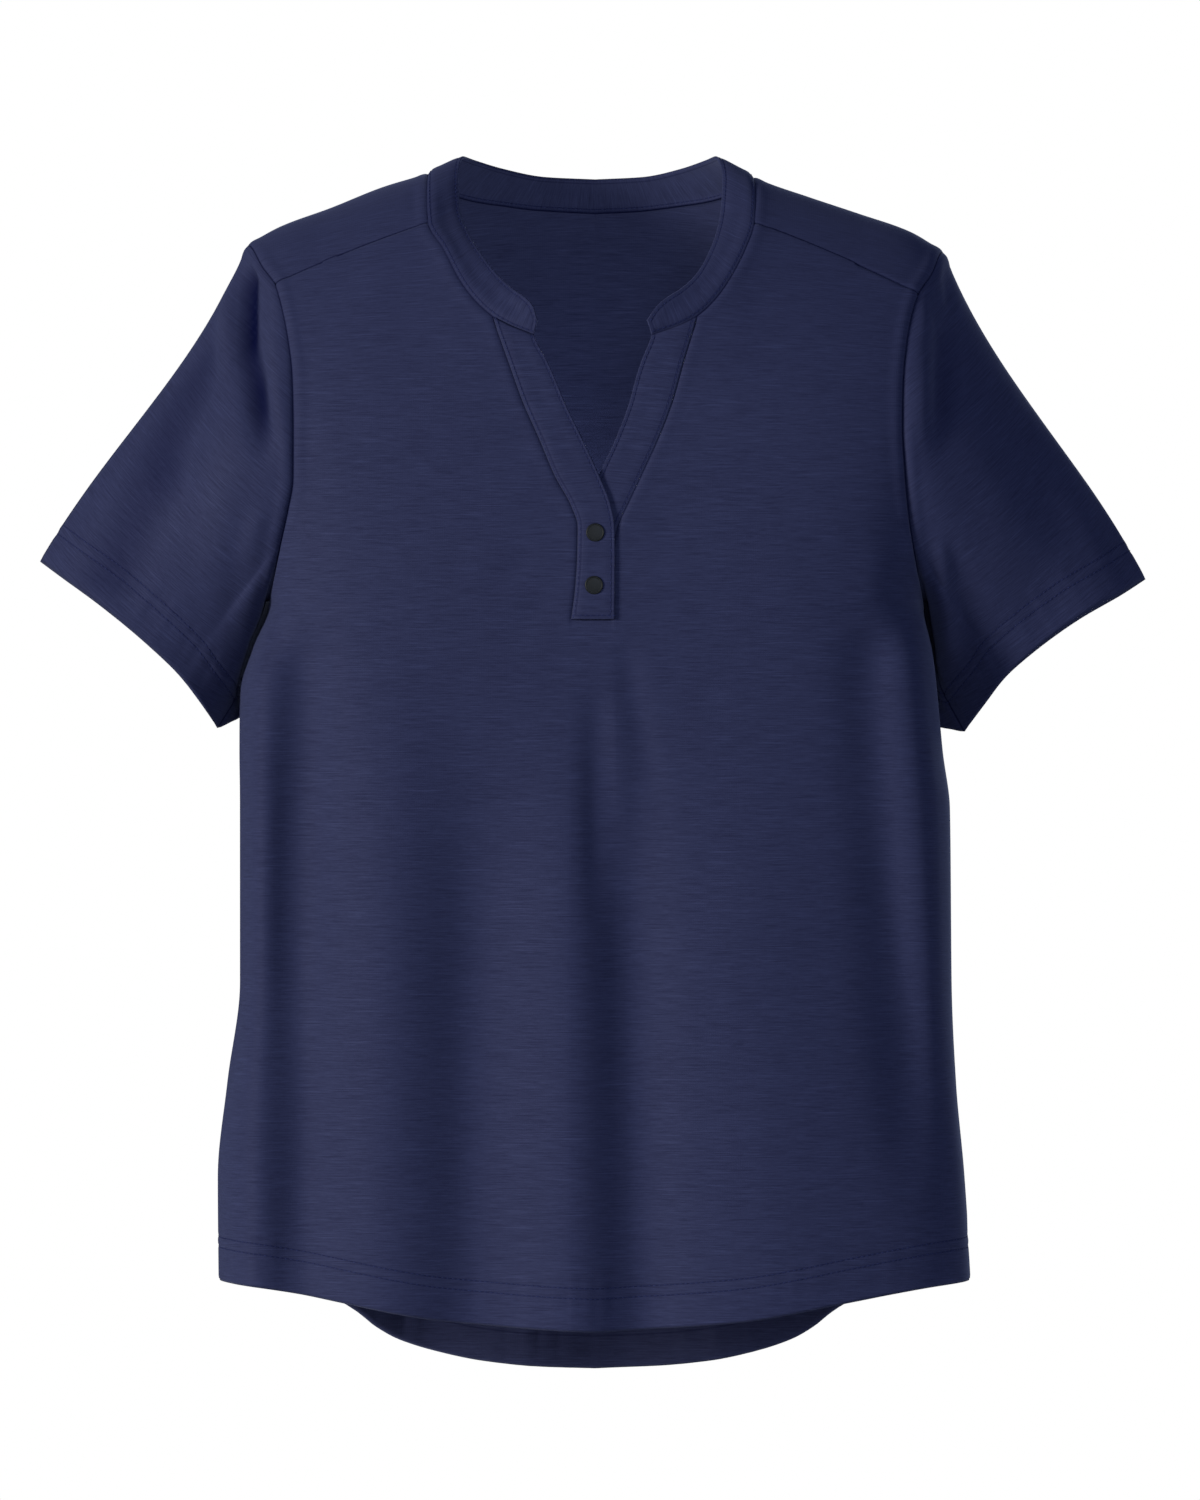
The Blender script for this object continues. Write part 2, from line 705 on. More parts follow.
class Seams:
    """The lines that neighbouring panels share, and the rows of points between them."""

    def __init__(self, form: BodyForm, counts: Counts) -> None:
        """Cuts every seam into its cells.

        Args:
            form: the surface that they lie on.
            counts: the number of cells.
        """
        self.form, self.counts = form, counts
        low = HEM_REACH / (UNDERARM - HEM.rows[-1][1])
        self.shares = np.concatenate([np.linspace(0, low, counts.hem + 1)[:-1],
                                      np.linspace(low, 1, counts.body + 1)])
        self.side = {side: self.side_seam(side) for side in Side}
        self.front_arm, self.over_arm, self.back_arm = (
            {side: self.armhole(side, table, steps, face) for side in Side} for table, steps, face in (
                (ARMHOLE_FRONT, Steps(counts.strip + counts.band, first=True), Face.FRONT),
                (ARMHOLE_OVER, Steps(counts.over, last=True), Face.FRONT),
                (ARMHOLE_BACK, Steps(counts.back_centre + counts.back_neck), Face.BACK)))
        parts = ((NECK_BACK, Face.BACK, Steps(counts.back_neck)),
                 (NECK_OVER, Face.FRONT, Steps(counts.over, last=True)),
                 (NECK_FRONT, Face.FRONT, Steps(counts.band, first=True)),
                 (NECK_END, Face.FRONT, Steps(counts.strip_across, first=True, last=True)))
        self.neck = {side: self.neck_runs(side, parts) for side in Side}
        for side in Side:
            self.front_arm[side][0] = self.over_arm[side][-1]
            self.back_arm[side][0] = self.over_arm[side][0]
            self.front_arm[side][-1] = self.back_arm[side][-1] = self.side[side][-1]
        outer = {Side.LEFT: "over_outer", Side.RIGHT: "under_outer"}
        self.strip = {side: self.placket_edge(outer[side], self.neck[side][2][0][-1]) for side in Side}
        self.forward = {side: self.straight_row(self.front_arm[side][0], self.neck[side][1][0][-1],
                                                Steps(counts.half, first=True, last=True), FORWARD_BOW)
                        for side in Side}

    def side_seam(self, side: Side) -> Array:
        """Points of the side seam from the hem to the underarm."""
        foot = HEM.rows[-1][1]
        height = foot + (UNDERARM - foot) * self.shares
        out = side.sign * self.form.torso[side.value](height)
        return np.stack([out, np.zeros_like(out), height], -1)

    def armhole(self, side: Side, table: Table, steps: Steps, face: Face) -> Array:
        """Points of the armhole along one table of its outline."""
        out = side.sign * table.column(side.value + "_out")
        height = table.column(side.value + "_height")
        out[height == UNDERARM] = side.sign * self.form.torso[side.value](UNDERARM)
        over = face.sign * self.form.over_from_height(out, height)
        line = route(np.stack([out, over], -1))
        return spread(lambda t: self.form.point(*line(t).T), steps)

    def neck_rows(self, side: Side, table: Table, face: Face) -> tuple[Array, Array]:
        """Seam places (x, over) and edge points of the neckband for the rows of one table."""
        seam_x = side.sign * table.column("seam_" + side.value)
        heights = [row[NECK_NAMES.index("seam_height")] for row in table.rows]
        over = [0.0 if height is None else face.sign * float(self.form.over_from_height(x, height))
                for x, height in zip(seam_x, heights)]
        edge = np.stack([side.sign * table.column("edge_" + side.value), table.column("edge_y"),
                         table.column("edge_height")], -1)
        return np.stack([seam_x, over], -1), edge

    def neck_runs(self, side: Side, parts: Sequence[tuple[Table, Face, Steps]]) -> list[tuple[Array, Array]]:
        """Seam and edge points of the neckband from the back's centre to its front end, run by run."""
        rows = [self.neck_rows(side, table, face) for table, face, _ in parts]
        seam = np.concatenate([rows[0][0]] + [part[0][1:] for part in rows[1:]])
        edge = np.concatenate([rows[0][1]] + [part[1][1:] for part in rows[1:]])
        at = along(self.form.point(seam[:, 0], seam[:, 1]))
        reads = [smooth_through(at, values) for values in (*seam.T, *edge.T)]
        runs, first = [], 0
        for part, (_, _, steps) in zip(rows, parts):
            last = first + len(part[0]) - 1

            def place(t: Array, start: float = at[first], end: float = at[last]) -> Array:
                s = start + (end - start) * t
                return self.form.point(reads[0](s), reads[1](s))

            t = places_on(place, steps)
            s = at[first] + (at[last] - at[first]) * t
            runs.append((place(t), np.stack([read(s) for read in reads[2:]], -1)))
            first = last
        return runs

    def placket_edge(self, name: str, top: Array) -> Array:
        """Points of one placket edge from its foot to its top corner."""
        read = PLACKET.readers("height")[name]

        def curve(t: Array) -> Array:
            height = PLACKET_FOOT + (top[2] - PLACKET_FOOT) * t
            x = read(height) + (top[0] - read(top[2])) * ease((t - 1) / CORNER_SHARE + 1)
            return self.form.on_face(Face.FRONT, x, height)

        edge = spread(curve, Steps(self.counts.strip, first=True))
        edge[-1] = top
        return edge

    def straight_row(self, start: Array, end: Array, steps: Steps, bow: float = 0.0) -> Array:
        """Points of the front from one to the other, straight in the front view but for a bow."""
        def curve(t: Array) -> Array:
            t = 1 - (1 - t) ** 2 if abs(start[1]) < NEAR_EDGE else t
            x = start[0] + (end[0] - start[0]) * t
            height = start[2] + (end[2] - start[2]) * t + bow * 4 * t * (1 - t)
            return self.form.on_face(Face.FRONT, x, height)

        return spread(curve, steps, (start, end))

    def level_row(self, start: Array, end: Array, share: float, face: Face, steps: Steps) -> Array:
        """Points of the body below the underarm: the hem's outline at share 0, straight at share 1."""
        from_seam = abs(start[1]) < AT_SEAM
        hem = self.form.hem[face.value]

        def curve(t: Array) -> Array:
            t = 1 - np.cos(t * math.pi / 2) if from_seam else t
            x = start[0] + (end[0] - start[0]) * t
            flat = start[2] + (end[2] - start[2]) * t
            ends = hem(abs(start[0])), hem(abs(end[0]))
            height = flat + (1 - share) * (hem(np.abs(x)) - ends[0] - (ends[1] - ends[0]) * t)
            if from_seam:
                height = height - share * UNDERARM_DIP * (1 - np.exp(-t / DIP_SHARE)) * (1 - t)
            return self.form.on_face(face, x, height)

        return spread(curve, steps, (start, end))

    def back_row(self, start: Array, end: Array, steps: Steps) -> Array:
        """Points of the back, and over the shoulder, from one point to another."""
        places = []
        for x, y, height in (start, end):
            over = float(self.form.over_from_height(x, height))
            places.append((x, -over if y < -1e-9 else over))
        first, last = np.array(places)
        first, reach = first[:, None], (last - first)[:, None]
        return spread(lambda t: self.form.point(*(first + reach * t)), steps, (start, end))

    def middle_line(self, x: float, face: Face, top: float) -> Array:
        """Points straight down the body at x, from the hem to a height."""
        foot = float(self.form.hem[face.value](abs(x)))
        height = foot + (top - foot) * self.shares
        return self.form.on_face(face, x, height)


@dataclass
class Grid:
    """One grid of cloth points, with its place in the flat cut and how far each point is raised.

    Args:
        points: rows of points.
        cut: for each point, its distance across and up the flat cut.
        raised: how far each point stands out of the form.
        seam: distance of each point from the nearest seam.
        hem: distance of each point from its hem, or minus that from the edge of a double piece.
        fold: how deep each point lies in a crease, below zero on its ridges, or None.
    """

    points: Array
    cut: Array
    raised: Array
    seam: Array
    hem: Array
    fold: Optional[Array] = None


class Cloth:
    """A sheet of cloth made of one or more grids, which turns into a mesh of one wall."""

    def __init__(self, name: str, grids: Sequence[Grid], thickness: float, closed: bool = False) -> None:
        """Joins the grids where they meet.

        Args:
            name: the piece's name.
            grids: its grids.
            thickness: thickness of its cloth.
            closed: whether its rows close on themselves.
        """
        self.name, self.thickness = name, thickness
        self.bm = bmesh.new()
        self.raised, self.hem, self.seam, self.fold = (
            self.bm.verts.layers.float.new(layer) for layer in ("raised", "hem", "seam", "fold"))
        self.cut = self.bm.loops.layers.uv.new("cut")
        for grid in grids:
            self.add_grid(grid, closed)
        bmesh.ops.remove_doubles(self.bm, verts=self.bm.verts, dist=MERGE_DISTANCE)

    def add_grid(self, grid: Grid, closed: bool) -> None:
        """Adds one grid's faces."""
        points, cut = grid.points, grid.cut
        if closed:
            points = np.concatenate([points, points[:, :1]], axis=1)
            last = cut[:, -1:] + (cut[:, -1:] - cut[:, -2:-1]) * [1.0, 0.0]
            last[..., 1] = cut[:, :1, 1]
            cut = np.concatenate([cut, last], axis=1)
        rows, columns = points.shape[:2]
        made = bmesh.ops.create_grid(self.bm, x_segments=columns - 1, y_segments=rows - 1, size=1.0)
        fold = np.zeros(grid.raised.shape) if grid.fold is None else grid.fold
        layers = ((self.raised, grid.raised), (self.hem, grid.hem), (self.seam, grid.seam), (self.fold, fold))
        place = {}
        for index, vertex in enumerate(made["verts"]):
            row, column = divmod(index, columns)
            vertex.co = points[row, column]
            for layer, values in layers:
                vertex[layer] = values[row, column % values.shape[1]]
            place[vertex] = cut[row, column]
        for face in {face for vertex in made["verts"] for face in vertex.link_faces}:
            for loop in face.loops:
                loop[self.cut].uv = place[loop.vert] * MM

    def face_outwards(self, centre: Vector) -> None:
        """Turns the faces so that most look away from a centre."""
        bmesh.ops.recalc_face_normals(self.bm, faces=self.bm.faces)
        looks = sum((face.calc_center_median() - centre).dot(face.normal) * face.calc_area()
                    for face in self.bm.faces)
        if looks < 0:
            bmesh.ops.reverse_faces(self.bm, faces=self.bm.faces)
        self.bm.normal_update()

    def broad_normals(self) -> dict:
        """Normals in which the large faces near a vertex count most, so that slivers don't turn them."""
        sums = {vertex: sum((face.normal * face.calc_area() for face in vertex.link_faces), Vector())
                for vertex in self.bm.verts}
        for _ in range(NORMAL_ROUNDS):
            near = {vertex: sum((sums[edge.other_vert(vertex)] for edge in vertex.link_edges), Vector())
                    for vertex in sums}
            sums = {vertex: total + NEIGHBOUR_SHARE * near[vertex] for vertex, total in sums.items()}
        return {vertex: total.normalized() for vertex, total in sums.items()}

    def rim(self) -> list:
        """The vertices on the sheet's open edges."""
        return [vertex for vertex in self.bm.verts if vertex.is_boundary]

    def raise_points(self, shared: dict) -> None:
        """Moves every point along its normal, and the rim along the normal it shares with its neighbours."""
        normals = self.broad_normals()
        for vertex in self.rim():
            normals[vertex] = Vector(shared[seam_key(vertex.co)]).normalized()
        for vertex, normal in normals.items():
            vertex.co += normal * vertex[self.raised]
        self.bm.normal_update()

    def turn_hem(self, depth: float, gap: float) -> None:
        """Turns the cloth up inside, from its hem's edge to a depth, as a second layer."""
        faces = [face for face in self.bm.faces if all(vertex[self.hem] < depth for vertex in face.verts)]
        self.bm.verts.index_update()
        normals = {vertex.index: vertex.normal.copy() for vertex in self.bm.verts}
        tag = self.bm.verts.layers.int.new("source")
        for vertex in self.bm.verts:
            vertex[tag] = vertex.index
        made = bmesh.ops.duplicate(self.bm, geom=faces)["geom"]
        for vertex in (item for item in made if isinstance(item, bmesh.types.BMVert)):
            if vertex[self.hem] > AT_EDGE:
                vertex.co -= normals[vertex[tag]] * gap * min(1.0, vertex[self.hem] / gap)
        copies = [item for item in made if isinstance(item, bmesh.types.BMFace)]
        bmesh.ops.reverse_faces(self.bm, faces=copies)
        edge = [vertex for vertex in self.bm.verts if vertex[self.hem] < AT_EDGE]
        bmesh.ops.remove_doubles(self.bm, verts=edge, dist=MERGE_DISTANCE)
        self.bm.verts.layers.int.remove(self.bm.verts.layers.int["source"])

    def tree(self) -> BVHTree:
        """A search tree of the sheet's middle."""
        return BVHTree.FromBMesh(self.bm)

    def area(self) -> float:
        """Area of the cloth, its turned hem included, in square metres."""
        return sum(face.calc_area() for face in self.bm.faces) * MM * MM

    def finish(self, material: bpy.types.Material) -> bpy.types.Object:
        """The sheet as an object in metres, with its thickness."""
        bmesh.ops.scale(self.bm, vec=(MM, MM, MM), verts=self.bm.verts)
        obj = finish_mesh(self.name, self.bm, material)
        obj.data.attributes.remove(obj.data.attributes["raised"])
        wall = obj.modifiers.new("wall", "SOLIDIFY")
        wall.thickness = self.thickness * MM
        wall.offset = 0.0
        wall.use_even_offset = False
        wall.use_rim = True
        obj.modifiers.new("shading", "WEIGHTED_NORMAL")
        return obj


def seam_key(point: Iterable[float]) -> tuple[int, ...]:
    """A point's name, by which neighbours on a seam know that they share it."""
    return tuple(int(round(value / SEAM_POINT_STEP)) for value in point)


def share_rims(groups: Sequence[Sequence[Cloth]]) -> dict:
    """The normal shared at each rim point: each group of sheets has an equal say in it."""
    totals: dict = {}
    for group in groups:
        own: dict = {}
        for cloth in group:
            normals = cloth.broad_normals()
            for vertex in cloth.rim():
                place = seam_key(vertex.co)
                own[place] = own.get(place, np.zeros(3)) + np.array(normals[vertex])
        for place, normal in own.items():
            totals[place] = totals.get(place, np.zeros(3)) + normal / np.linalg.norm(normal)
    return totals


# Relief of seams and hems


@dataclass(frozen=True)
class SeamRelief:
    """How cloth lies beside a seam: it dips into the seam and rolls a little beside it.

    Args:
        dip: how far it dips.
        dip_width: how wide the dip is.
        roll: how far it rises beside it.
        roll_at: distance of the roll from the seam.
        roll_width: how wide the roll is.
    """

    dip: float = 0.9
    dip_width: float = 1.3
    roll: float = 0.3
    roll_at: float = 4.0
    roll_width: float = 2.6

    def at(self, distance: Array) -> Array:
        """How far the cloth is raised at a distance from the seam."""
        return (self.roll * hump(distance - self.roll_at, self.roll_width)
                - self.dip * hump(distance, self.dip_width))


@dataclass(frozen=True)
class HemRelief:
    """How cloth lies in a hem with two rows of stitches.

    Args:
        rows: distances of the stitch rows from the edge.
        dip: how far the rows sink.
        dip_width: how wide they are.
        rise: how far the cloth swells between the rows.
        rise_width: how wide that swelling is.
        gathers: the ripples that the hem holds.
        edge_share: share of the ripples at the edge itself.
        reach: how far above the rows the ripples go.
    """

    rows: tuple[float, float] = (19.0, 25.0)
    dip: float = 0.35
    dip_width: float = 0.95
    rise: float = 0.15
    rise_width: float = 1.8
    gathers: Ripple = Ripple(14.0, 0.5, 3)
    edge_share: float = 0.35
    reach: float = 14.0

    def at(self, distance: Array, way: Array) -> Array:
        """How far the cloth is raised at a distance from the edge and a way along it."""
        lower, upper = self.rows
        total = -sum(self.dip * hump(distance - row, self.dip_width) for row in self.rows)
        total = total + self.rise * hump(distance - (lower + upper) / 2, self.rise_width)
        near = self.edge_share + (1 - self.edge_share) * ease(1 - np.abs(distance - lower) / lower)
        held = np.where(distance < upper, near, ease(1 - (distance - upper) / self.reach))
        return total + held * self.gathers.at(way)


SEAM = SeamRelief()
ROLLED_SEAM = SeamRelief(dip=1.0, roll=0.8, roll_at=4.5, roll_width=3.0)
YOKE_SEAM = SeamRelief(dip=0.7, dip_width=1.1, roll=0.2)
TOPSTITCH = 2.1                 # distance of a top stitch from its edge


def distance_to(points: Array, *lines: Array) -> Array:
    """Distance of each point of a grid from the nearest of some lines.

    Args:
        points: the grid.
        lines: runs of points.

    Returns:
        One distance for each point of the grid.
    """
    close = []
    for line in lines:
        length = along(line)
        at = np.linspace(0, length[-1], int(length[-1] / SEAM_SAMPLE_STEP) + 2)
        close.append(np.stack([np.interp(at, length, line[:, k]) for k in range(3)], -1))
    samples = np.concatenate(close)
    tree = KDTree(len(samples))
    for index, sample in enumerate(samples):
        tree.insert(sample, index)
    tree.balance()
    flat = [tree.find(point)[2] for point in points.reshape(-1, 3)]
    return np.array(flat).reshape(points.shape[:-1])


def half_cut(points: Array, form: BodyForm) -> Array:
    """Distances across and up the flat cut for a half panel whose rows end near the middle."""
    from_end = along_axis(points, 1)
    from_end = from_end[:, -1:] - from_end
    inner = points[:, -1:, 0]
    sign = np.sign(points[:, :1, 0])
    return np.stack([inner + sign * from_end, form.length_down(points)], -1)


# Pieces of cloth


@dataclass
class Panel:
    """What the front and the back have in common.

    Args:
        seams: the shirt's seams.
        creases: its small creases.
        face: the side of the body that it covers.
        folds: its long folds.
        hem: the relief of its hem.
        thickness: the cloth's.
    """

    seams: Seams
    creases: tuple[Crease, ...]
    face: Face
    folds: Table
    hem: HemRelief = HemRelief()
    thickness: float = SINGLE

    def low_rows(self, side: Side, middle: Array, steps: Steps) -> list[Array]:
        """Rows from the hem to the underarm, between a side seam and a line down the middle."""
        return [self.seams.level_row(self.seams.side[side][i], middle[i], share, self.face, steps)
                for i, share in enumerate(self.seams.shares)]

    def grid(self, points: Array, cut: Array, edges: Sequence[Array], inner: Sequence[Array]) -> Grid:
        """One grid, with the relief of its seams, creases and hem.

        Args:
            points: its rows, from the hem.
            cut: the place of each point in the flat cut.
            edges: the side seams and armholes.
            inner: the seams of the neck and the placket.

        Returns:
            The grid, its points moved by the long folds.
        """
        from_edge, from_inner = distance_to(points, *edges), distance_to(points, *inner)
        from_yoke = distance_to(points, *self.seams.forward.values())
        from_seam = np.minimum(from_edge, from_inner)
        raised = calmed(ROLLED_SEAM.at(from_edge), points) + SEAM.at(from_inner) + YOKE_SEAM.at(from_yoke)
        raised += creased(self.creases, points) * ease(from_seam / CREASE_FADE)
        hem = np.full(raised.shape, FAR)
        low = len(self.seams.shares)
        hem[:low] = along_axis(points[:low], 0)
        near = hem < HEM_ZONE
        raised[near] += self.hem.at(hem[near], cut[near][:, 0])
        points = self.seams.form.folded(points, self.face, self.folds)
        return Grid(points, cut, raised, np.minimum(from_seam, from_yoke), hem)


class Front(Panel):
    """The front, from side seam to side seam, with the notch for the placket."""

    def half(self, side: Side) -> Array:
        """Rows of one half, from the hem to the forward shoulder seam."""
        seams, inner = self.seams, self.seams.strip[side][0]
        steps = Steps(seams.counts.half, first=True, last=True)
        rows = self.low_rows(side, seams.middle_line(inner[0], self.face, inner[2]), steps)
        edge = np.concatenate([seams.strip[side], seams.neck[side][2][0][::-1][1:]])
        arm = seams.front_arm[side][::-1]
        rows += [seams.straight_row(arm[i], edge[i], steps) for i in range(1, len(arm) - 1)]
        return np.array(rows + [seams.forward[side]])

    def grids(self) -> list[Grid]:
        """The two halves, and the part between them below the placket."""
        seams, form = self.seams, self.seams.form
        halves = [self.half(side) for side in Side]
        steps = Steps(seams.counts.notch)
        middle = np.array([seams.level_row(halves[0][i, -1], halves[1][i, -1], share, self.face, steps)
                           for i, share in enumerate(seams.shares)])
        edges = [np.concatenate([seams.side[side], seams.front_arm[side][::-1]]) for side in Side]
        inner = [np.concatenate([seams.strip[side], seams.neck[side][2][0][::-1]]) for side in Side]
        inner.append(np.stack([seams.strip[side][0] for side in Side]))
        cuts = [half_cut(points, form) for points in halves]
        cuts.append(np.stack([middle[..., 0], form.length_down(middle)], -1))
        return [self.grid(points, cut, edges, inner) for points, cut in zip([*halves, middle], cuts)]


class Back(Panel):
    """The back, which wraps over the shoulders to the forward shoulder seam."""

    def half(self, side: Side) -> Array:
        """Rows of one half, from the hem, over the shoulder, to the forward seam."""
        seams, counts = self.seams, self.seams.counts
        middle = seams.middle_line(0.0, self.face, UNDERARM)
        rows = self.low_rows(side, middle, Steps(counts.half, first=True))
        neck, over_neck = seams.neck[side][0][0], seams.neck[side][1][0]
        height = np.linspace(UNDERARM, neck[0, 2], counts.back_centre + 1)
        inner = np.concatenate([seams.form.on_face(self.face, 0.0, height), neck[1:], over_neck[1:]])
        outer = np.concatenate([seams.back_arm[side][::-1], seams.over_arm[side][1:]])
        steps = Steps(counts.half, first=True, last=True)
        rows += [seams.back_row(outer[i], inner[i], steps) for i in range(1, len(outer) - 1)]
        return np.array(rows + [seams.forward[side]])

    def grids(self) -> list[Grid]:
        """The two halves."""
        seams = self.seams
        edges = [np.concatenate([seams.side[side], seams.back_arm[side][::-1], seams.over_arm[side]])
                 for side in Side]
        inner = [np.concatenate([seams.neck[side][0][0], seams.neck[side][1][0]]) for side in Side]
        halves = [self.half(side) for side in Side]
        return [self.grid(points, half_cut(points, seams.form), edges, inner) for points in halves]


@dataclass
class Sleeve:
    """A short set-in sleeve with a turned hem.

    Args:
        seams: the shirt's seams.
        side: the side on which it is sewn.
        front_creases: creases of its front.
        back_creases: and of its back.
        thickness: the cloth's.
        hem: the relief of its hem.
        clearance: how far it stays from the body beside the armhole.
        cuff_clearance: and at the cuff.
        clearance_top: height below which it does so.
        clearance_reach: height over which it comes to do so.
        clearance_blend: how softly it is pushed away.
        blend_reach: how many times that a point may lie out and still be pushed.
        underarm_share: share of the way round over which the underarm's cloth turns outwards.
        close_rows: places of the rows beside the armhole, as shares of the way to the cuff.
        first_row: share at which the even rows start.
        hem_share: share at which they become closer.
        turn_share: share of the depth over which the front's creases give way to the back's.
    """

    seams: Seams
    side: Side
    front_creases: tuple[Crease, ...]
    back_creases: tuple[Crease, ...]
    thickness: float = SINGLE
    hem: HemRelief = HemRelief(gathers=Ripple(12.0, 0.4, 5), reach=10.0)
    clearance: float = 5.2
    cuff_clearance: float = 2.2
    clearance_top: float = -230.0
    clearance_reach: float = 30.0
    clearance_blend: float = 0.006
    blend_reach: float = 30.0
    underarm_share: float = 0.3
    close_rows: tuple[float, ...] = (0.0, 0.004, 0.009, 0.016, 0.026)
    first_row: float = 0.04
    hem_share: float = 0.64
    turn_share: float = 0.35

    def clear_of_body(self, points: Array, gap: float) -> Array:
        """Points pushed out of the body's oval sections, so that they stay a gap away."""
        form = self.seams.form
        x, y, height = np.moveaxis(points, -1, 0)
        width = form.half_width(x, height)
        depth = np.where(y < 0, form.torso["front"](height), form.torso["back"](height))
        power = np.where(y < 0, form.front_squareness, form.back_squareness)
        share = ((np.abs(x) / width) ** power + (np.abs(y) / depth) ** power) ** (1 / power)
        needed = 1 + gap / width
        excess = (share - needed) / self.clearance_blend
        grown = needed + self.clearance_blend * np.log1p(
            np.exp(np.clip(excess, -self.blend_reach, self.blend_reach)))
        grown = np.where(excess > self.blend_reach, share, grown)
        factor = 1 + (grown / share - 1) * ease((self.clearance_top - height) / self.clearance_reach)
        return np.stack([x * factor, y * factor, height], -1)

    def ring(self) -> tuple[Array, Array, Array]:
        """The armhole's points, their way round from underarm to tip, and which are behind."""
        seams, side = self.seams, self.side
        front = np.concatenate([seams.front_arm[side][::-1], seams.over_arm[side][::-1][1:]])
        back = seams.back_arm[side]
        ring = np.concatenate([front, back[1:-1]])
        ways = [along(run) / along(run)[-1] for run in (front, back[::-1])]
        way = np.concatenate([ways[0], ways[1][::-1][1:-1]])
        return ring, way, np.arange(len(ring)) >= len(front)

    def cuff(self, way: Array, behind: Array) -> Array:
        """The cuff's edge at each way round."""
        name, fine = self.side.value, np.linspace(0, 1, FINE_STEPS + 1)
        edges = []
        for table in (CUFF_FRONT, CUFF_BACK):
            line = route(np.stack([self.side.sign * table.column(name + "_out"), table.column(name + "_y"),
                                   table.column(name + "_height")], -1))
            edges.append(line(np.interp(way, fine, even_along(line(fine), FINE_STEPS))))
        return np.where(behind[:, None], edges[1], edges[0])

    def rows(self) -> Array:
        """Rings from the armhole to the cuff."""
        ring, way, behind = self.ring()
        cuff = self.cuff(way, behind)
        axis = cuff.mean(0) - ring.mean(0)
        axis /= np.linalg.norm(axis)
        up = np.array([axis[2] * self.side.sign, 0.0, -axis[0] * self.side.sign])
        up /= np.linalg.norm(up)
        turn = way * math.pi
        backwards = np.sin(turn) * np.where(behind, 1.0, -1.0)
        outward = backwards[:, None] * np.array([[0.0, 1.0, 0.0]]) - np.cos(turn)[:, None] * up
        outward = up + (outward - up) * ease(way / self.underarm_share)[:, None]
        bulge = np.abs(BULGE.readers("way_round")["bulge"](way))[:, None]
        reach = np.linalg.norm(cuff - ring, axis=1)[:, None]
        start = (cuff - ring) / reach + bulge * outward
        start /= np.linalg.norm(start, axis=1)[:, None]
        first, second = ring + start * reach / 3, cuff - axis * reach / 3
        counts = self.seams.counts
        even = counts.sleeve - counts.sleeve_hem - len(self.close_rows) + 1
        places = np.concatenate([self.close_rows, np.linspace(self.first_row, self.hem_share, even)[:-1],
                                 np.linspace(self.hem_share, 1, counts.sleeve_hem)])
        rows = [ring]
        for t in places[1:]:
            row = ((1 - t) ** 3 * ring + 3 * t * (1 - t) ** 2 * first
                   + 3 * t * t * (1 - t) * second + t ** 3 * cuff)
            gap = self.clearance + (self.cuff_clearance - self.clearance) * t
            rows.append(self.clear_of_body(row, gap))
        return np.array(rows)

    def grids(self) -> list[Grid]:
        """The sleeve's grid, with the relief of its seams, creases and hem."""
        points = self.rows()
        armhole = np.concatenate([points[0], points[0][:1]])
        from_armhole = distance_to(points, armhole)
        from_own = distance_to(points, points[:, 0])
        raised = calmed(ROLLED_SEAM.at(from_armhole), points) + YOKE_SEAM.at(from_own)
        from_top = along_axis(points, 0)
        hem = from_top[-1:] - from_top
        across = along(points[-1])[None, :] * np.ones((len(points), 1))
        near = hem < HEM_ZONE
        raised[near] += self.hem.at(hem[near], across[near])
        middle = points.mean(1, keepdims=True)[..., 1]
        depth = np.abs(points[..., 1] - middle).max(1, keepdims=True)
        ahead = np.clip((middle - points[..., 1]) / depth, -1, 1)
        held = ease(from_armhole / CREASE_FADE)
        crease = (creased(self.front_creases, points) * held * ease(ahead / self.turn_share)
                  + creased(self.back_creases, points) * held * ease(-ahead / self.turn_share))
        raised += crease
        edge = points[-1]
        spread_out = edge - edge.mean(0)
        normal = np.linalg.svd(spread_out, full_matrices=False)[2][-1]
        normal = normal if normal[2] > 0 else -normal
        cut = np.stack([across, (points - edge.mean(0)) @ normal], -1)
        return [Grid(points, cut, raised, np.minimum(from_armhole, from_own), hem, -crease)]


@dataclass
class Double:
    """What the double pieces have in common: a dome, and top stitches along their edges.

    Args:
        seams: the shirt's seams.
        creases: its small creases.
        dome: how far its middle stands out.
        dome_reach: distance from the edge over which it rises.
        stitch_dip: how far the top stitches sink in.
        stitch_width: half width of their groove.
        crease_reach: distance from them over which the creases grow.
        about: its width, about.
        thickness: the cloth's.
    """

    seams: Seams
    creases: tuple[Crease, ...]
    dome: float
    dome_reach: float
    stitch_dip: float
    stitch_width: float = 0.75
    crease_reach: float = 4.0
    about: float = 22.0
    thickness: float = DOUBLE

    def domed(self, from_rim: Array) -> Array:
        """The rise of the dome and its top stitches at a distance from the edge."""
        return (self.dome * ease(from_rim / self.dome_reach)
                - self.stitch_dip * hump(from_rim - TOPSTITCH, self.stitch_width))

    def held(self, from_rim: Array) -> Array:
        """How much of a crease there is at a distance from the edge."""
        return ease((from_rim - TOPSTITCH) / self.crease_reach)

    def shares(self, cells: int) -> Array:
        """Places of its points across."""
        return Steps(cells, first=True, last=True).places(self.about)


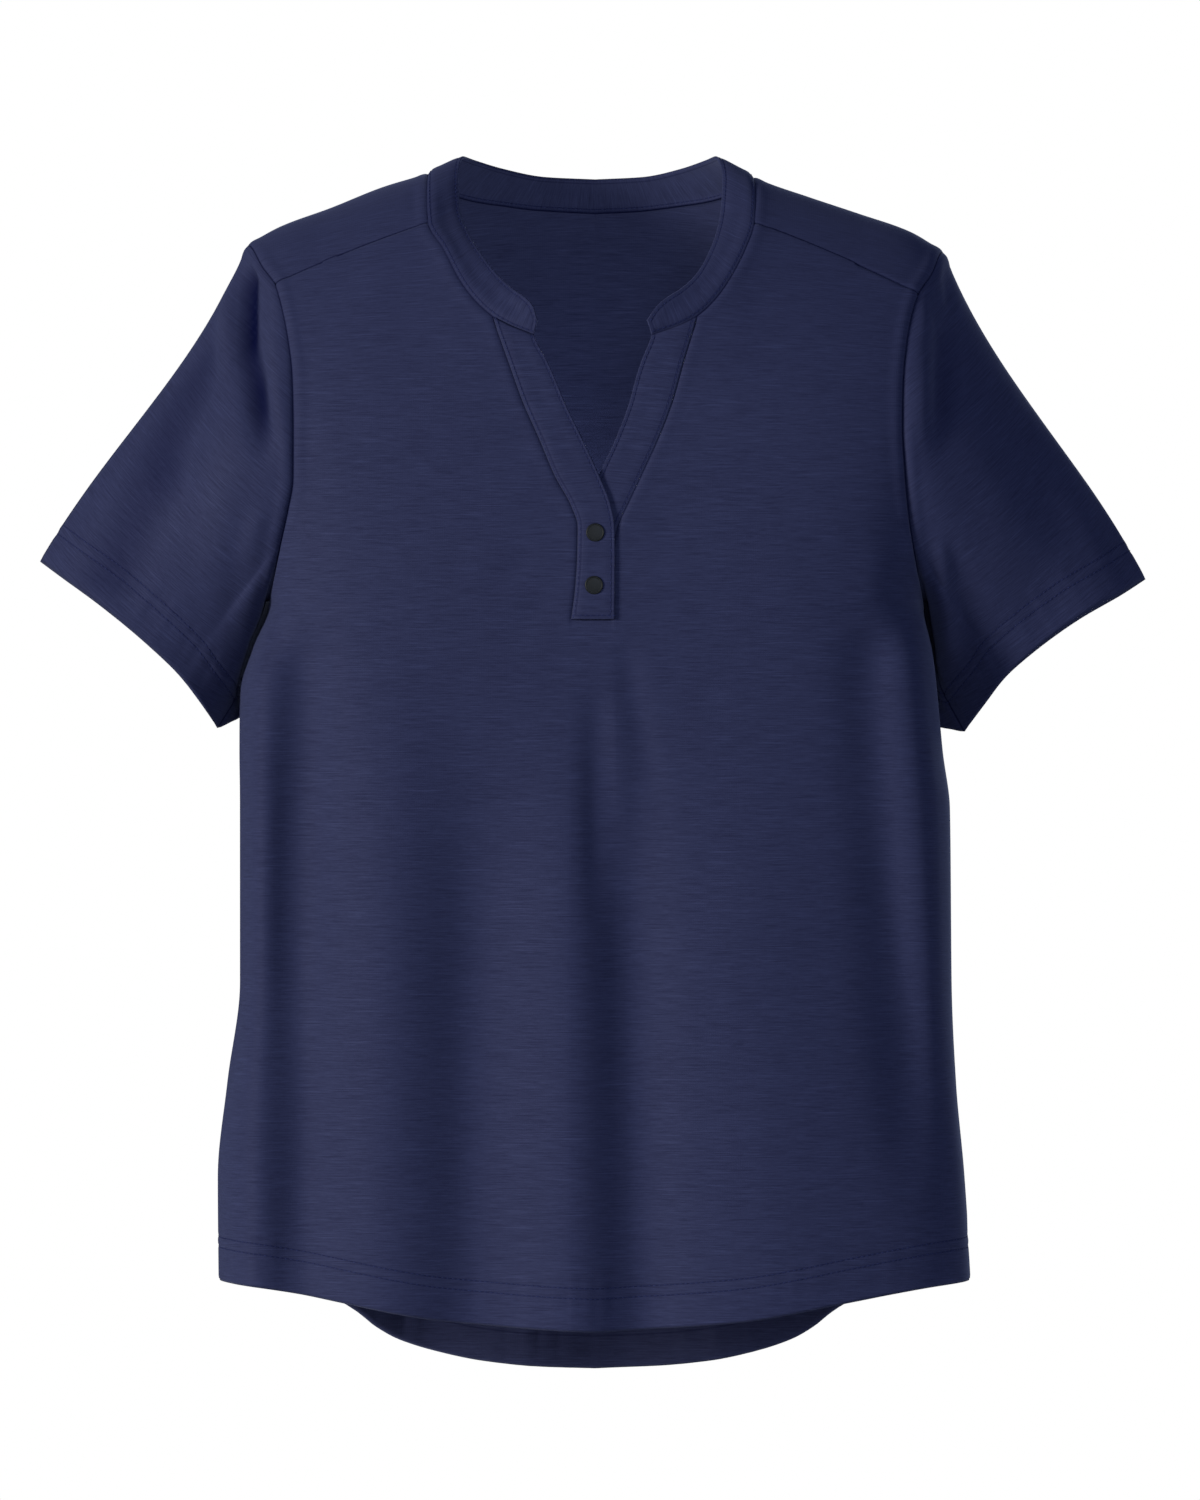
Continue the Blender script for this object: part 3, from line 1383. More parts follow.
@dataclass
class Neckband(Double):
    """The double stand band, open at the front with two rounded ends."""

    rim_dip: float = 0.35
    rim_width: float = 0.7

    def runs(self) -> list[Array]:
        """The band's seam and its free edge, from one front end round the back to the other."""
        left, right = ([np.concatenate([run[k] if run is runs[0] else run[k][1:] for run in runs])
                        for k in (0, 1)] for runs in self.seams.neck.values())
        return [np.concatenate([left[k][::-1], right[k][1:]]) for k in (0, 1)]

    def grids(self) -> list[Grid]:
        """The band's grid."""
        seam, edge = self.runs()
        shares = self.shares(self.seams.counts.band_across)
        points = np.array([seam + (edge - seam) * share for share in shares])
        from_rim = distance_to(points, np.concatenate([seam, edge[::-1], seam[:1]]))
        from_seam = distance_to(points, seam)
        raised = self.domed(from_rim) + SEAM.at(from_seam) - self.rim_dip * hump(from_rim, self.rim_width)
        raised += creased(self.creases, points) * (points[..., 1] < 0) * self.held(from_rim)
        run = along(seam)[None, :] * np.ones((len(points), 1))
        return [Grid(points, np.stack([along_axis(points, 0), run], -1), raised, from_seam, -from_rim)]


@dataclass
class Strip(Double):
    """One double strip of the placket.

    Args:
        side: the one on which it is sewn.
        over_level: how far the left strip's middle lies above the body surface where it crosses.
        under_level: how far the right one's lies above it there.
        cross: height below which they cross.
        lift_length: length over which they come to do so.
        lift_share: share of its width over which the left one rises from its seam.
        lift: how far its middle stands above its seam elsewhere.
        edge_dip: how far a strip sinks in at its seam.
        edge_width: half width of that groove.
        snap_dip: how far a snap presses it in.
        snap_width: and over which radius.
    """

    side: Side = Side.LEFT
    over_level: float = 1.75
    under_level: float = -0.6
    cross: float = -178.0
    lift_length: float = 45.0
    lift_share: float = 0.12
    lift: float = 0.35
    edge_dip: float = 0.6
    edge_width: float = 0.9
    snap_dip: float = 0.45
    snap_width: float = 6.2

    def rows(self, shares: Array) -> Array:
        """Rows from the strip's foot to the neckband's seam, with points at some shares of its width."""
        seams = self.seams
        top, outer = seams.neck[self.side][3][0], seams.strip[self.side]
        inner = seams.placket_edge("over_inner" if self.side is Side.LEFT else "under_inner", top[-1])
        rows = []
        for start, end in list(zip(outer, inner))[:-1]:
            x, height = (start[k] + (end[k] - start[k]) * shares for k in (0, 2))
            if not rows:
                height = np.full_like(height, PLACKET_FOOT)
            rows.append(seams.form.on_face(Face.FRONT, x, height))
        return np.array(rows + [top])

    def levels(self, rows: Array, shares: Array) -> Array:
        """How far each point lies above the body surface, so that one strip passes over the other."""
        if self.side is Side.RIGHT:
            return self.under_level * ease((rows[..., 2] - self.cross) / -self.lift_length + 1.0)
        raised = ease((self.cross - rows[..., 2]) / self.lift_length + 1.0)
        level = self.lift + (self.over_level - self.lift) * raised
        return level * ease(shares[None, :] / self.lift_share)

    def grids(self) -> list[Grid]:
        """The strip's grid."""
        shares = self.shares(self.seams.counts.strip_across)
        points = self.rows(shares)
        left = self.side is Side.LEFT
        from_side = distance_to(points, points[:, 0], points[:, -1], *([points[0]] if left else []))
        from_band = distance_to(points, points[-1])
        raised = self.levels(points, shares) + self.domed(from_side) + SEAM.at(from_band)
        raised -= self.edge_dip * hump(distance_to(points, points[:, 0]), self.edge_width)
        raised += creased(self.creases, points) * self.held(from_side)
        for height, x in SNAPS.values() if left else ():
            from_snap = np.hypot(points[..., 0] - x, points[..., 2] - height)
            raised -= self.snap_dip * hump(from_snap, self.snap_width)
        cut = np.stack([along_axis(points, 1), along_axis(points, 0)], -1)
        return [Grid(points, cut, raised, from_band, -from_side)]


# Snaps and stitches


SNAPS = {"snap_upper": (-217.8, 0.2), "snap_lower": (-248.3, -0.5)}     # height and distance to the right


@dataclass(frozen=True)
class Snap:
    """A turned snap cap with a rolled rim.

    Args:
        name: its name.
        height: height of its middle.
        out: its middle's distance to the right.
        seat: how far it stands out of the body surface.
        sides: how many sides it has.
        merge: points of it nearer than this become one.
        profile: radii and rises of its outline.
    """

    name: str
    height: float
    out: float
    seat: float = 2.35
    sides: int = 64
    merge: float = 1e-3
    profile: tuple[tuple[float, float], ...] = (
        (5.1, -0.3), (5.3, 0.1), (5.35, 0.6), (5.2, 1.0), (4.85, 1.2), (4.45, 1.13), (4.25, 1.0), (4.0, 1.02),
        (3.4, 1.08), (2.5, 1.13), (1.4, 1.16), (0.0, 1.17))

    def frame(self, form: BodyForm, span: float = 2.0) -> Matrix:
        """The place and turn of the cap on the body surface."""
        x, height = self.out, self.height
        along_x = form.on_face(Face.FRONT, x + span, height) - form.on_face(Face.FRONT, x - span, height)
        along_z = form.on_face(Face.FRONT, x, height + span) - form.on_face(Face.FRONT, x, height - span)
        across = Vector(along_x).normalized()
        normal = Vector(np.cross(along_x, along_z)).normalized()
        up = normal.cross(across)
        turn = Matrix((across, up, normal)).transposed().to_4x4()
        return Matrix.Translation(Vector(form.on_face(Face.FRONT, x, height)) + normal * self.seat) @ turn

    def build(self, form: BodyForm, material: bpy.types.Material) -> bpy.types.Object:
        """The cap as an object."""
        bm = bmesh.new()
        points = [bm.verts.new((radius, 0.0, rise)) for radius, rise in self.profile]
        edges = [bm.edges.new(pair) for pair in zip(points, points[1:])]
        bmesh.ops.spin(bm, geom=points + edges, cent=(0, 0, 0), axis=(0, 0, 1), angle=2 * math.pi,
                       steps=self.sides, use_merge=True)
        bmesh.ops.remove_doubles(bm, verts=bm.verts, dist=self.merge)
        rim = [edge for edge in bm.edges if edge.is_boundary]
        bmesh.ops.holes_fill(bm, edges=rim, sides=0)
        bmesh.ops.recalc_face_normals(bm, faces=bm.faces)
        bmesh.ops.transform(bm, matrix=Matrix.Scale(MM, 4) @ self.frame(form), verts=bm.verts)
        return finish_mesh(self.name + "_cap", bm, material)


@dataclass(frozen=True)
class Stitch:
    """One visible stitch of a row.

    Args:
        length: its length.
        gap: how far apart the ends of two stitches are.
        radius: the thread's radius.
        slant: angle from the row, in degrees.
        sink: how far it is pulled into the cloth.
    """

    length: float = 2.3
    gap: float = 0.9
    radius: float = 0.27
    slant: float = 0.0
    sink: float = 0.08

    def pitch(self) -> float:
        """Distance from one stitch to the next."""
        return self.length * math.cos(math.radians(self.slant)) + self.gap


STITCH_BATCH = 40               # stitches that are made apart from the others, which is quicker
STITCH_SPAN = 0.6               # distance to each side over which a row's direction is measured


class StitchRows:
    """Rows of stitches of one seam or hem, in one mesh."""

    def __init__(self, name: str, stitch: Stitch = Stitch()) -> None:
        """Starts with no stitch."""
        self.name, self.stitch, self.bm = name, stitch, bmesh.new()

    def run(self, line: Array, tree: BVHTree, lift: float) -> None:
        """Lays stitches along a line near a sheet.

        Args:
            line: points of the row.
            tree: the sheet's middle.
            lift: how far from the middle the thread lies, below zero on the inside.
        """
        stitch, length = self.stitch, along(line)
        size = Matrix.Diagonal((stitch.length / 2, stitch.radius, stitch.radius, 1.0))
        lying = Matrix.Rotation(math.pi / 2, 4, "Y")
        batch = bmesh.new()
        for count, at in enumerate(np.arange(stitch.pitch() / 2, length[-1], stitch.pitch()), 1):
            start, end = (Vector([np.interp(at + step, length, line[:, k]) for k in range(3)])
                          for step in (-STITCH_SPAN, STITCH_SPAN))
            place, normal, _, _ = tree.find_nearest((start + end) / 2)
            ahead = end - start
            ahead = (ahead - normal * ahead.dot(normal)).normalized()
            ahead = Matrix.Rotation(math.radians(stitch.slant), 3, normal) @ ahead
            turn = Matrix((ahead, normal.cross(ahead), normal)).transposed().to_4x4()
            centre = place + normal * (lift - math.copysign(stitch.sink, lift))
            bmesh.ops.create_uvsphere(batch, u_segments=6, v_segments=4, radius=1.0,
                                      matrix=Matrix.Translation(centre) @ turn @ size @ lying)
            if count % STITCH_BATCH == 0:
                self.take(batch)
                batch = bmesh.new()
        self.take(batch)

    def take(self, batch: bmesh.types.BMesh) -> None:
        """Adds a batch of stitches."""
        mesh = bpy.data.meshes.new("batch")
        batch.to_mesh(mesh)
        batch.free()
        self.bm.from_mesh(mesh)
        bpy.data.meshes.remove(mesh)

    def build(self, material: bpy.types.Material) -> bpy.types.Object:
        """The rows as an object."""
        bmesh.ops.scale(self.bm, vec=(MM, MM, MM), verts=self.bm.verts)
        return finish_mesh(self.name, self.bm, material)


def finish_mesh(name: str, bm: bmesh.types.BMesh, material: bpy.types.Material) -> bpy.types.Object:
    """Puts a bmesh in metres into the scene as a smooth object."""
    for face in bm.faces:
        face.smooth = True
    mesh = bpy.data.meshes.new(name)
    bm.to_mesh(mesh)
    bm.free()
    mesh.materials.append(material)
    obj = bpy.data.objects.new(name, mesh)
    bpy.context.scene.collection.objects.link(obj)
    return obj


def line_at(points: Array, distances: Array, want: float) -> Array:
    """The line across a grid at which the distances along its columns take one value."""
    line = []
    for column in range(points.shape[1]):
        run = distances[:, column]
        order = np.argsort(run)
        line.append([np.interp(want, run[order], points[order, column, k]) for k in range(3)])
    return np.array(line)


# Finishes


class NodeTree:
    """Short calls for making a material's nodes."""

    def __init__(self, name: str) -> None:
        """Starts a material with its shader.

        Args:
            name: the material's name.
        """
        self.material = bpy.data.materials.new(name)
        self.material.use_nodes = True
        self.nodes = self.material.node_tree.nodes
        self.shader = self.nodes["Principled BSDF"].inputs

    def add(self, kind: str, **settings: object) -> bpy.types.Node:
        """A new node with its settings."""
        node = self.nodes.new(kind)
        for name, value in settings.items():
            setattr(node, name, value)
        return node

    def put(self, value: object, socket: Socket) -> None:
        """Joins a socket to another one, or gives it a value."""
        if isinstance(value, bpy.types.NodeSocket):
            self.material.node_tree.links.new(value, socket)
        else:
            socket.default_value = value

    def finish(self, **values: object) -> bpy.types.Material:
        """The material, once the shader's sockets have their values.

        Args:
            values: a value or a socket for each of them, its name in lower case, with lines for spaces.
        """
        names = {socket.name.lower().replace(" ", "_"): socket for socket in self.shader}
        for name, value in values.items():
            self.put(value, names[name])
        return self.material

    def math(self, operation: str, first: object, second: object = 0.0) -> Socket:
        """A sum of two numbers or sockets."""
        node = self.add("ShaderNodeMath", operation=operation)
        for socket, value in zip(node.inputs, (first, second)):
            self.put(value, socket)
        return node.outputs[0]

    def ranged(self, value: Socket, start: Span, end: Span) -> Socket:
        """A value moved from one range to another, and held within it."""
        node = self.add("ShaderNodeMapRange")
        names = ("Value", "From Min", "From Max", "To Min", "To Max")
        for name, limit in zip(names, (value, *start, *end)):
            self.put(limit, node.inputs[name])
        return node.outputs[0]

    def noise(self, vector: Socket, scale: tuple[float, float, float], detail: float, rough: float) -> Socket:
        """A noise stretched by a scale for each axis."""
        mapping, noise = self.add("ShaderNodeMapping"), self.add("ShaderNodeTexNoise")
        self.put(scale, mapping.inputs["Scale"])
        self.put(vector, mapping.inputs["Vector"])
        values = (mapping.outputs[0], 1.0, detail, rough)
        for name, value in zip(("Vector", "Scale", "Detail", "Roughness"), values):
            self.put(value, noise.inputs[name])
        return noise.outputs["Fac"]

    def ramp(self, value: Socket, colours: tuple[Colour, Colour], places: Span = (0.0, 1.0)) -> Socket:
        """A colour between two, which it reaches at two places of the value."""
        node = self.add("ShaderNodeValToRGB")
        for element, colour, place in zip(node.color_ramp.elements, colours, places):
            element.color, element.position = colour, place
        self.put(value, node.inputs[0])
        return node.outputs[0]

    def bump(self, height: Socket, strength: float, distance: float) -> Socket:
        """The normal of a fine relief."""
        node = self.add("ShaderNodeBump")
        for name, value in (("Height", height), ("Strength", strength), ("Distance", distance)):
            self.put(value, node.inputs[name])
        return node.outputs[0]

    def attribute(self, name: str) -> Socket:
        """One of the mesh's own attributes."""
        return self.add("ShaderNodeAttribute", attribute_name=name).outputs["Fac"]

    def grain(self, scale: float, detail: float, rough: float) -> Socket:
        """An even noise in the object's own space."""
        place = self.add("ShaderNodeTexCoord").outputs["Object"]
        return self.noise(place, (scale, scale, scale), detail, rough)


@dataclass(frozen=True)
class Streak:
    """One kind of unevenness of the yarn, as a stretched noise.

    Args:
        scale: how many there are in a metre across the cut and up it, and a third number to tell kinds apart.
        detail: the noise's detail.
        rough: its roughness.
        share: how much it adds to the yarn's thickness.
        rare: the noise's values over which it comes to show, where it is rare.
    """

    scale: tuple[float, float, float]
    detail: float
    rough: float
    share: float
    rare: tuple[float, ...] = ()


@dataclass(frozen=True)
class Jersey:
    """Slub jersey: fine level streaks of thicker and thinner yarn, with a low soft sheen.

    Args:
        name: the material's name.
        deep: colour of the thin places.
        light: colour of the thick ones.
        gloom: colour deep in seams and creases.
        sheen: colour of the sheen.
        streaks: streaks, fine streaks and clouds, and rare thick and thin lengths.
        thickness: the yarn's thickness at which it has the deep colour, and the light one.
        rough: roughness of the thin places and of the thick ones.
        shine: how much it mirrors.
        sheen_share: how strong the sheen is.
        sheen_rough: how broad.
        loops: scales of the waves of the wales and the courses, for the knit's relief.
        loop_bend: how unevenly they run.
        loop_share: how high the loops are, the yarn's streaks being 1.
        relief: how strongly both show in the light.
        depth: how deep they are, in metres.
        seam: distances from a seam over which the colour comes back, and its shares there.
        needle: the same for a row of needle holes.
        trough: depths of a crease over which the colour goes, and its shares there.
        ridge: the same for a ridge, which is lighter.
    """

    name: str = "navy_slub_jersey"
    deep: Colour = (0.0125, 0.0155, 0.052, 1.0)
    light: Colour = (0.026, 0.032, 0.088, 1.0)
    gloom: Colour = (0.001, 0.0022, 0.024, 1.0)
    sheen: Colour = (0.55, 0.62, 1.0, 1.0)
    streaks: tuple[Streak, ...] = (
        Streak((62.0, 1500.0, 1.0), 2.0, 0.6, 0.62),
        Streak((279.0, 2400.0, 1.0), 1.0, 0.5, 0.26),
        Streak((9.0, 60.0, 1.0), 2.0, 0.6, 0.12),
        Streak((34.1, 930.0, 1.0), 1.0, 0.4, 0.24, (0.62, 0.78)),
        Streak((43.4, 1200.0, 3.0), 1.0, 0.4, -0.26, (0.62, 0.76)),
    )
    thickness: Span = (0.36, 0.69)
    rough: Span = (0.9, 0.72)
    shine: float = 0.28
    sheen_share: float = 0.12
    sheen_rough: float = 0.5
    loops: Span = (240.0, 330.0)
    loop_bend: float = 0.6
    loop_share: float = 0.35
    relief: float = 0.22
    depth: float = 0.0004
    seam: tuple[Span, Span] = ((0.2, 1.0), (0.2, 1.0))
    needle: tuple[Span, Span] = ((0.1, 0.65), (0.62, 1.0))
    trough: tuple[Span, Span] = ((1.2, 8.0), (1.0, 0.1))
    ridge: tuple[Span, Span] = ((-5.0, 0.0), (1.2, 1.0))

    def shade(self, tree: NodeTree) -> Socket:
        """How much of the colour is left in the seams, in the needle holes' rows and down in the creases."""
        hem, fold = tree.attribute("hem"), tree.attribute("fold")
        shade = tree.ranged(tree.attribute("seam"), *self.seam)
        for row in (*HemRelief().rows, -TOPSTITCH):
            off = tree.math("ABSOLUTE", tree.math("SUBTRACT", hem, row))
            shade = tree.math("MULTIPLY", shade, tree.ranged(off, *self.needle))
        creased_part = tree.math("MULTIPLY", tree.ranged(fold, *self.trough), tree.ranged(fold, *self.ridge))
        return tree.math("MULTIPLY", shade, creased_part)

    def yarn(self, tree: NodeTree, cut: Socket) -> Socket:
        """How thick the yarn is."""
        total = 0.0
        for streak in self.streaks:
            part = tree.noise(cut, streak.scale, streak.detail, streak.rough)
            if streak.rare:
                part = tree.ranged(part, streak.rare, (0.0, 1.0))
            total = tree.math("ADD", total, tree.math("MULTIPLY", part, streak.share))
        return total

    def knit(self, tree: NodeTree, cut: Socket) -> Socket:
        """Rows of small loops, where the wales cross the courses."""
        waves = []
        for direction, scale in zip("XY", self.loops):
            wave = tree.add("ShaderNodeTexWave", wave_type="BANDS", bands_direction=direction,
                            wave_profile="SIN")
            for name, value in (("Vector", cut), ("Scale", scale), ("Distortion", self.loop_bend),
                                ("Detail Scale", 2.0)):
                tree.put(value, wave.inputs[name])
            waves.append(wave.outputs["Fac"])
        return tree.math("MULTIPLY", *waves)

    def build(self) -> bpy.types.Material:
        """The material."""
        tree = NodeTree(self.name)
        cut = tree.add("ShaderNodeUVMap", uv_map="cut").outputs[0]
        yarn, shade = self.yarn(tree, cut), self.shade(tree)
        shaded = tree.add("ShaderNodeMix", data_type="RGBA")
        colour = tree.ramp(yarn, (self.deep, self.light), self.thickness)
        for index, value in ((0, shade), (6, self.gloom), (7, colour)):
            tree.put(value, shaded.inputs[index])
        height = tree.math("ADD", yarn, tree.math("MULTIPLY", self.knit(tree, cut), self.loop_share))
        return tree.finish(base_color=shaded.outputs[2], normal=tree.bump(height, self.relief, self.depth),
                           roughness=tree.ranged(yarn, (0.0, 1.0), self.rough),
                           specular_ior_level=tree.math("MULTIPLY", shade, self.shine),
                           sheen_weight=tree.math("MULTIPLY", shade, self.sheen_share),
                           sheen_roughness=self.sheen_rough, sheen_tint=self.sheen)


@dataclass(frozen=True)
class Thread:
    """Sewing thread: a tight twist, about as dull as the cloth."""

    name: str = "navy_thread"
    deep: Colour = (0.010, 0.014, 0.055, 1.0)
    light: Colour = (0.030, 0.039, 0.125, 1.0)

    def build(self) -> bpy.types.Material:
        """The material."""
        tree = NodeTree(self.name)
        twist = tree.grain(2600.0, detail=2.0, rough=0.6)
        return tree.finish(base_color=tree.ramp(twist, (self.deep, self.light), (0.35, 0.65)),
                           normal=tree.bump(twist, strength=0.3, distance=0.0001), roughness=0.6,
                           specular_ior_level=0.15)


@dataclass(frozen=True)
class CapFinish:
    """Dull greenish black of the snaps, with faint rub marks."""

    name: str = "snap_black"
    colour: Colour = (0.004, 0.0052, 0.0040, 1.0)
    rubbed: Colour = (0.010, 0.0115, 0.0095, 1.0)

    def build(self) -> bpy.types.Material:
        """The material."""
        tree = NodeTree(self.name)
        rub = tree.grain(900.0, detail=4.0, rough=0.6)
        return tree.finish(base_color=tree.ramp(rub, (self.colour, self.rubbed), (0.45, 0.75)),
                           roughness=tree.ranged(rub, (0.0, 1.0), (0.38, 0.55)), specular_ior_level=0.26)


@dataclass(frozen=True)
class FloorFinish:
    """Plain pale floor with a faint unevenness."""

    name: str = "pale_floor"
    dark: Colour = (0.92, 0.9, 0.84, 1.0)
    pale: Colour = (0.96, 0.94, 0.88, 1.0)

    def build(self) -> bpy.types.Material:
        """The material."""
        tree = NodeTree(self.name)
        tone = tree.grain(3.0, detail=2.0, rough=0.5)
        return tree.finish(base_color=tree.ramp(tone, (self.dark, self.pale)), roughness=0.8)


# Studio


@dataclass(frozen=True)
class Lamp:
    """One soft rectangular light.

    Args:
        name: its name.
        place: where it is, in metres.
        size: its width and height.
        power: its power in watts.
        colour: its colour.
        target: what it is turned towards.
    """

    name: str
    place: tuple[float, float, float]
    size: tuple[float, float]
    power: float
    colour: tuple[float, float, float]
    target: tuple[float, float, float] = (0.0, 0.0, -0.344)

    def build(self) -> None:
        """Puts it into the scene."""
        data = bpy.data.lights.new(self.name, "AREA")
        data.shape = "RECTANGLE"
        data.size, data.size_y = self.size
        data.energy = self.power
        data.color = self.colour
        obj = bpy.data.objects.new(self.name, data)
        obj.location = self.place
        aim = Vector(self.target) - Vector(self.place)
        obj.rotation_euler = aim.to_track_quat("-Z", "Y").to_euler()
        obj.visible_camera = False
        bpy.context.scene.collection.objects.link(obj)


@dataclass(frozen=True)
class Studio:
    """The camera, the lights, the pale floor and the pale surroundings.

    Args:
        distance: how far in front the camera stands.
        eye: its place to the side and its height.
        frame_height: height of what it sees.
        sensor: width and height of its sensor, in millimetres.
        clip: how far it sees.
        floor_height: height of the floor.
        floor_radius: radius of the floor.
        lamps: the lights.
        seen: how bright the surroundings are to the camera.
        shine: how bright they are to the shirt.
        sky: the colour in which they light it.
        white: the colour that the camera sees.
    """

    distance: float = 8.0
    eye: tuple[float, float] = (0.00294, -0.344)
    frame_height: float = 0.882
    sensor: tuple[float, float] = (28.8, 36.0)
    clip: float = 60.0
    floor_height: float = -1.02
    floor_radius: float = 1.6
    lamps: tuple[Lamp, ...] = (
        Lamp("key", (-9.9, -6.4, 1.2), (3.4, 3.4), 1250.0, (1.0, 0.98, 0.95)),
        Lamp("fill", (8.0, -5.0, 1.0), (4.0, 4.0), 80.0, (0.8, 0.88, 1.0)),
        Lamp("front", (1.2, -9.0, 1.6), (3.0, 3.0), 190.0, (0.7, 0.8, 1.0)),
        Lamp("back", (2.5, 9.0, 2.2), (4.0, 4.0), 160.0, (0.7, 0.8, 1.0)),
        Lamp("inside", (0.0, -0.03, -0.28), (0.12, 0.05), 0.26, (0.8, 0.86, 1.0), (0.0, 0.09, -0.05)),
    )
    seen: float = 1.0
    shine: float = 0.13
    sky: Colour = (0.4, 0.5, 1.0, 1.0)
    white: Colour = (1.0, 1.0, 1.0, 1.0)

    def camera(self) -> None:
        """The camera, level and square to the front."""
        data = bpy.data.cameras.new("camera")
        data.sensor_fit = "VERTICAL"
        data.sensor_width, data.sensor_height = self.sensor
        data.lens = self.sensor[1] * self.distance / self.frame_height
        data.clip_end = self.clip
        obj = bpy.data.objects.new("camera", data)
        obj.location = (self.eye[0], -self.distance, self.eye[1])
        obj.rotation_euler = (math.pi / 2, 0.0, 0.0)
        bpy.context.scene.collection.objects.link(obj)
        bpy.context.scene.camera = obj

    def floor(self) -> None:
        """The floor, a round sheet below the shirt."""
        bm = bmesh.new()
        bmesh.ops.create_circle(bm, cap_ends=True, segments=96, radius=self.floor_radius,
                                matrix=Matrix.Translation((0.0, 0.0, self.floor_height)))
        finish_mesh("floor", bm, FloorFinish().build())

    def surroundings(self) -> None:
        """Pale surroundings, which the camera sees as white and which light the shirt softly."""
        world = bpy.data.worlds.new("studio")
        bpy.context.scene.world = world
        world.use_nodes = True
        nodes, links = world.node_tree.nodes, world.node_tree.links
        nodes.clear()
        path, mix = nodes.new("ShaderNodeLightPath"), nodes.new("ShaderNodeMixShader")
        links.new(path.outputs["Is Camera Ray"], mix.inputs[0])
        for index, (colour, strength) in enumerate(((self.sky, self.shine), (self.white, self.seen)), 1):
            glow = nodes.new("ShaderNodeBackground")
            glow.inputs["Color"].default_value = colour
            glow.inputs["Strength"].default_value = strength
            links.new(glow.outputs[0], mix.inputs[index])
        links.new(mix.outputs[0], nodes.new("ShaderNodeOutputWorld").inputs[0])

    def build(self) -> None:
        """Sets the whole studio."""
        self.camera()
        self.floor()
        self.surroundings()
        for lamp in self.lamps:
            lamp.build()
        bpy.context.scene.view_settings.view_transform = "Standard"
        bpy.context.scene.view_settings.look = "None"


# The shirt


BODY_MIDDLE = (0.0, 0.0, -350.0)
THREAD_LIFT = 0.12              # how far from the cloth's face the middle of a thread lies
HEM_ROWS = 60                   # rows of a grid, from the edge, in which a hem's lines are looked for
OVERLOCK_INSET = 1.2            # distance of the overlock's middle from the raw edge
BEHIND = -20.0                  # where the neckband's inside begins to show


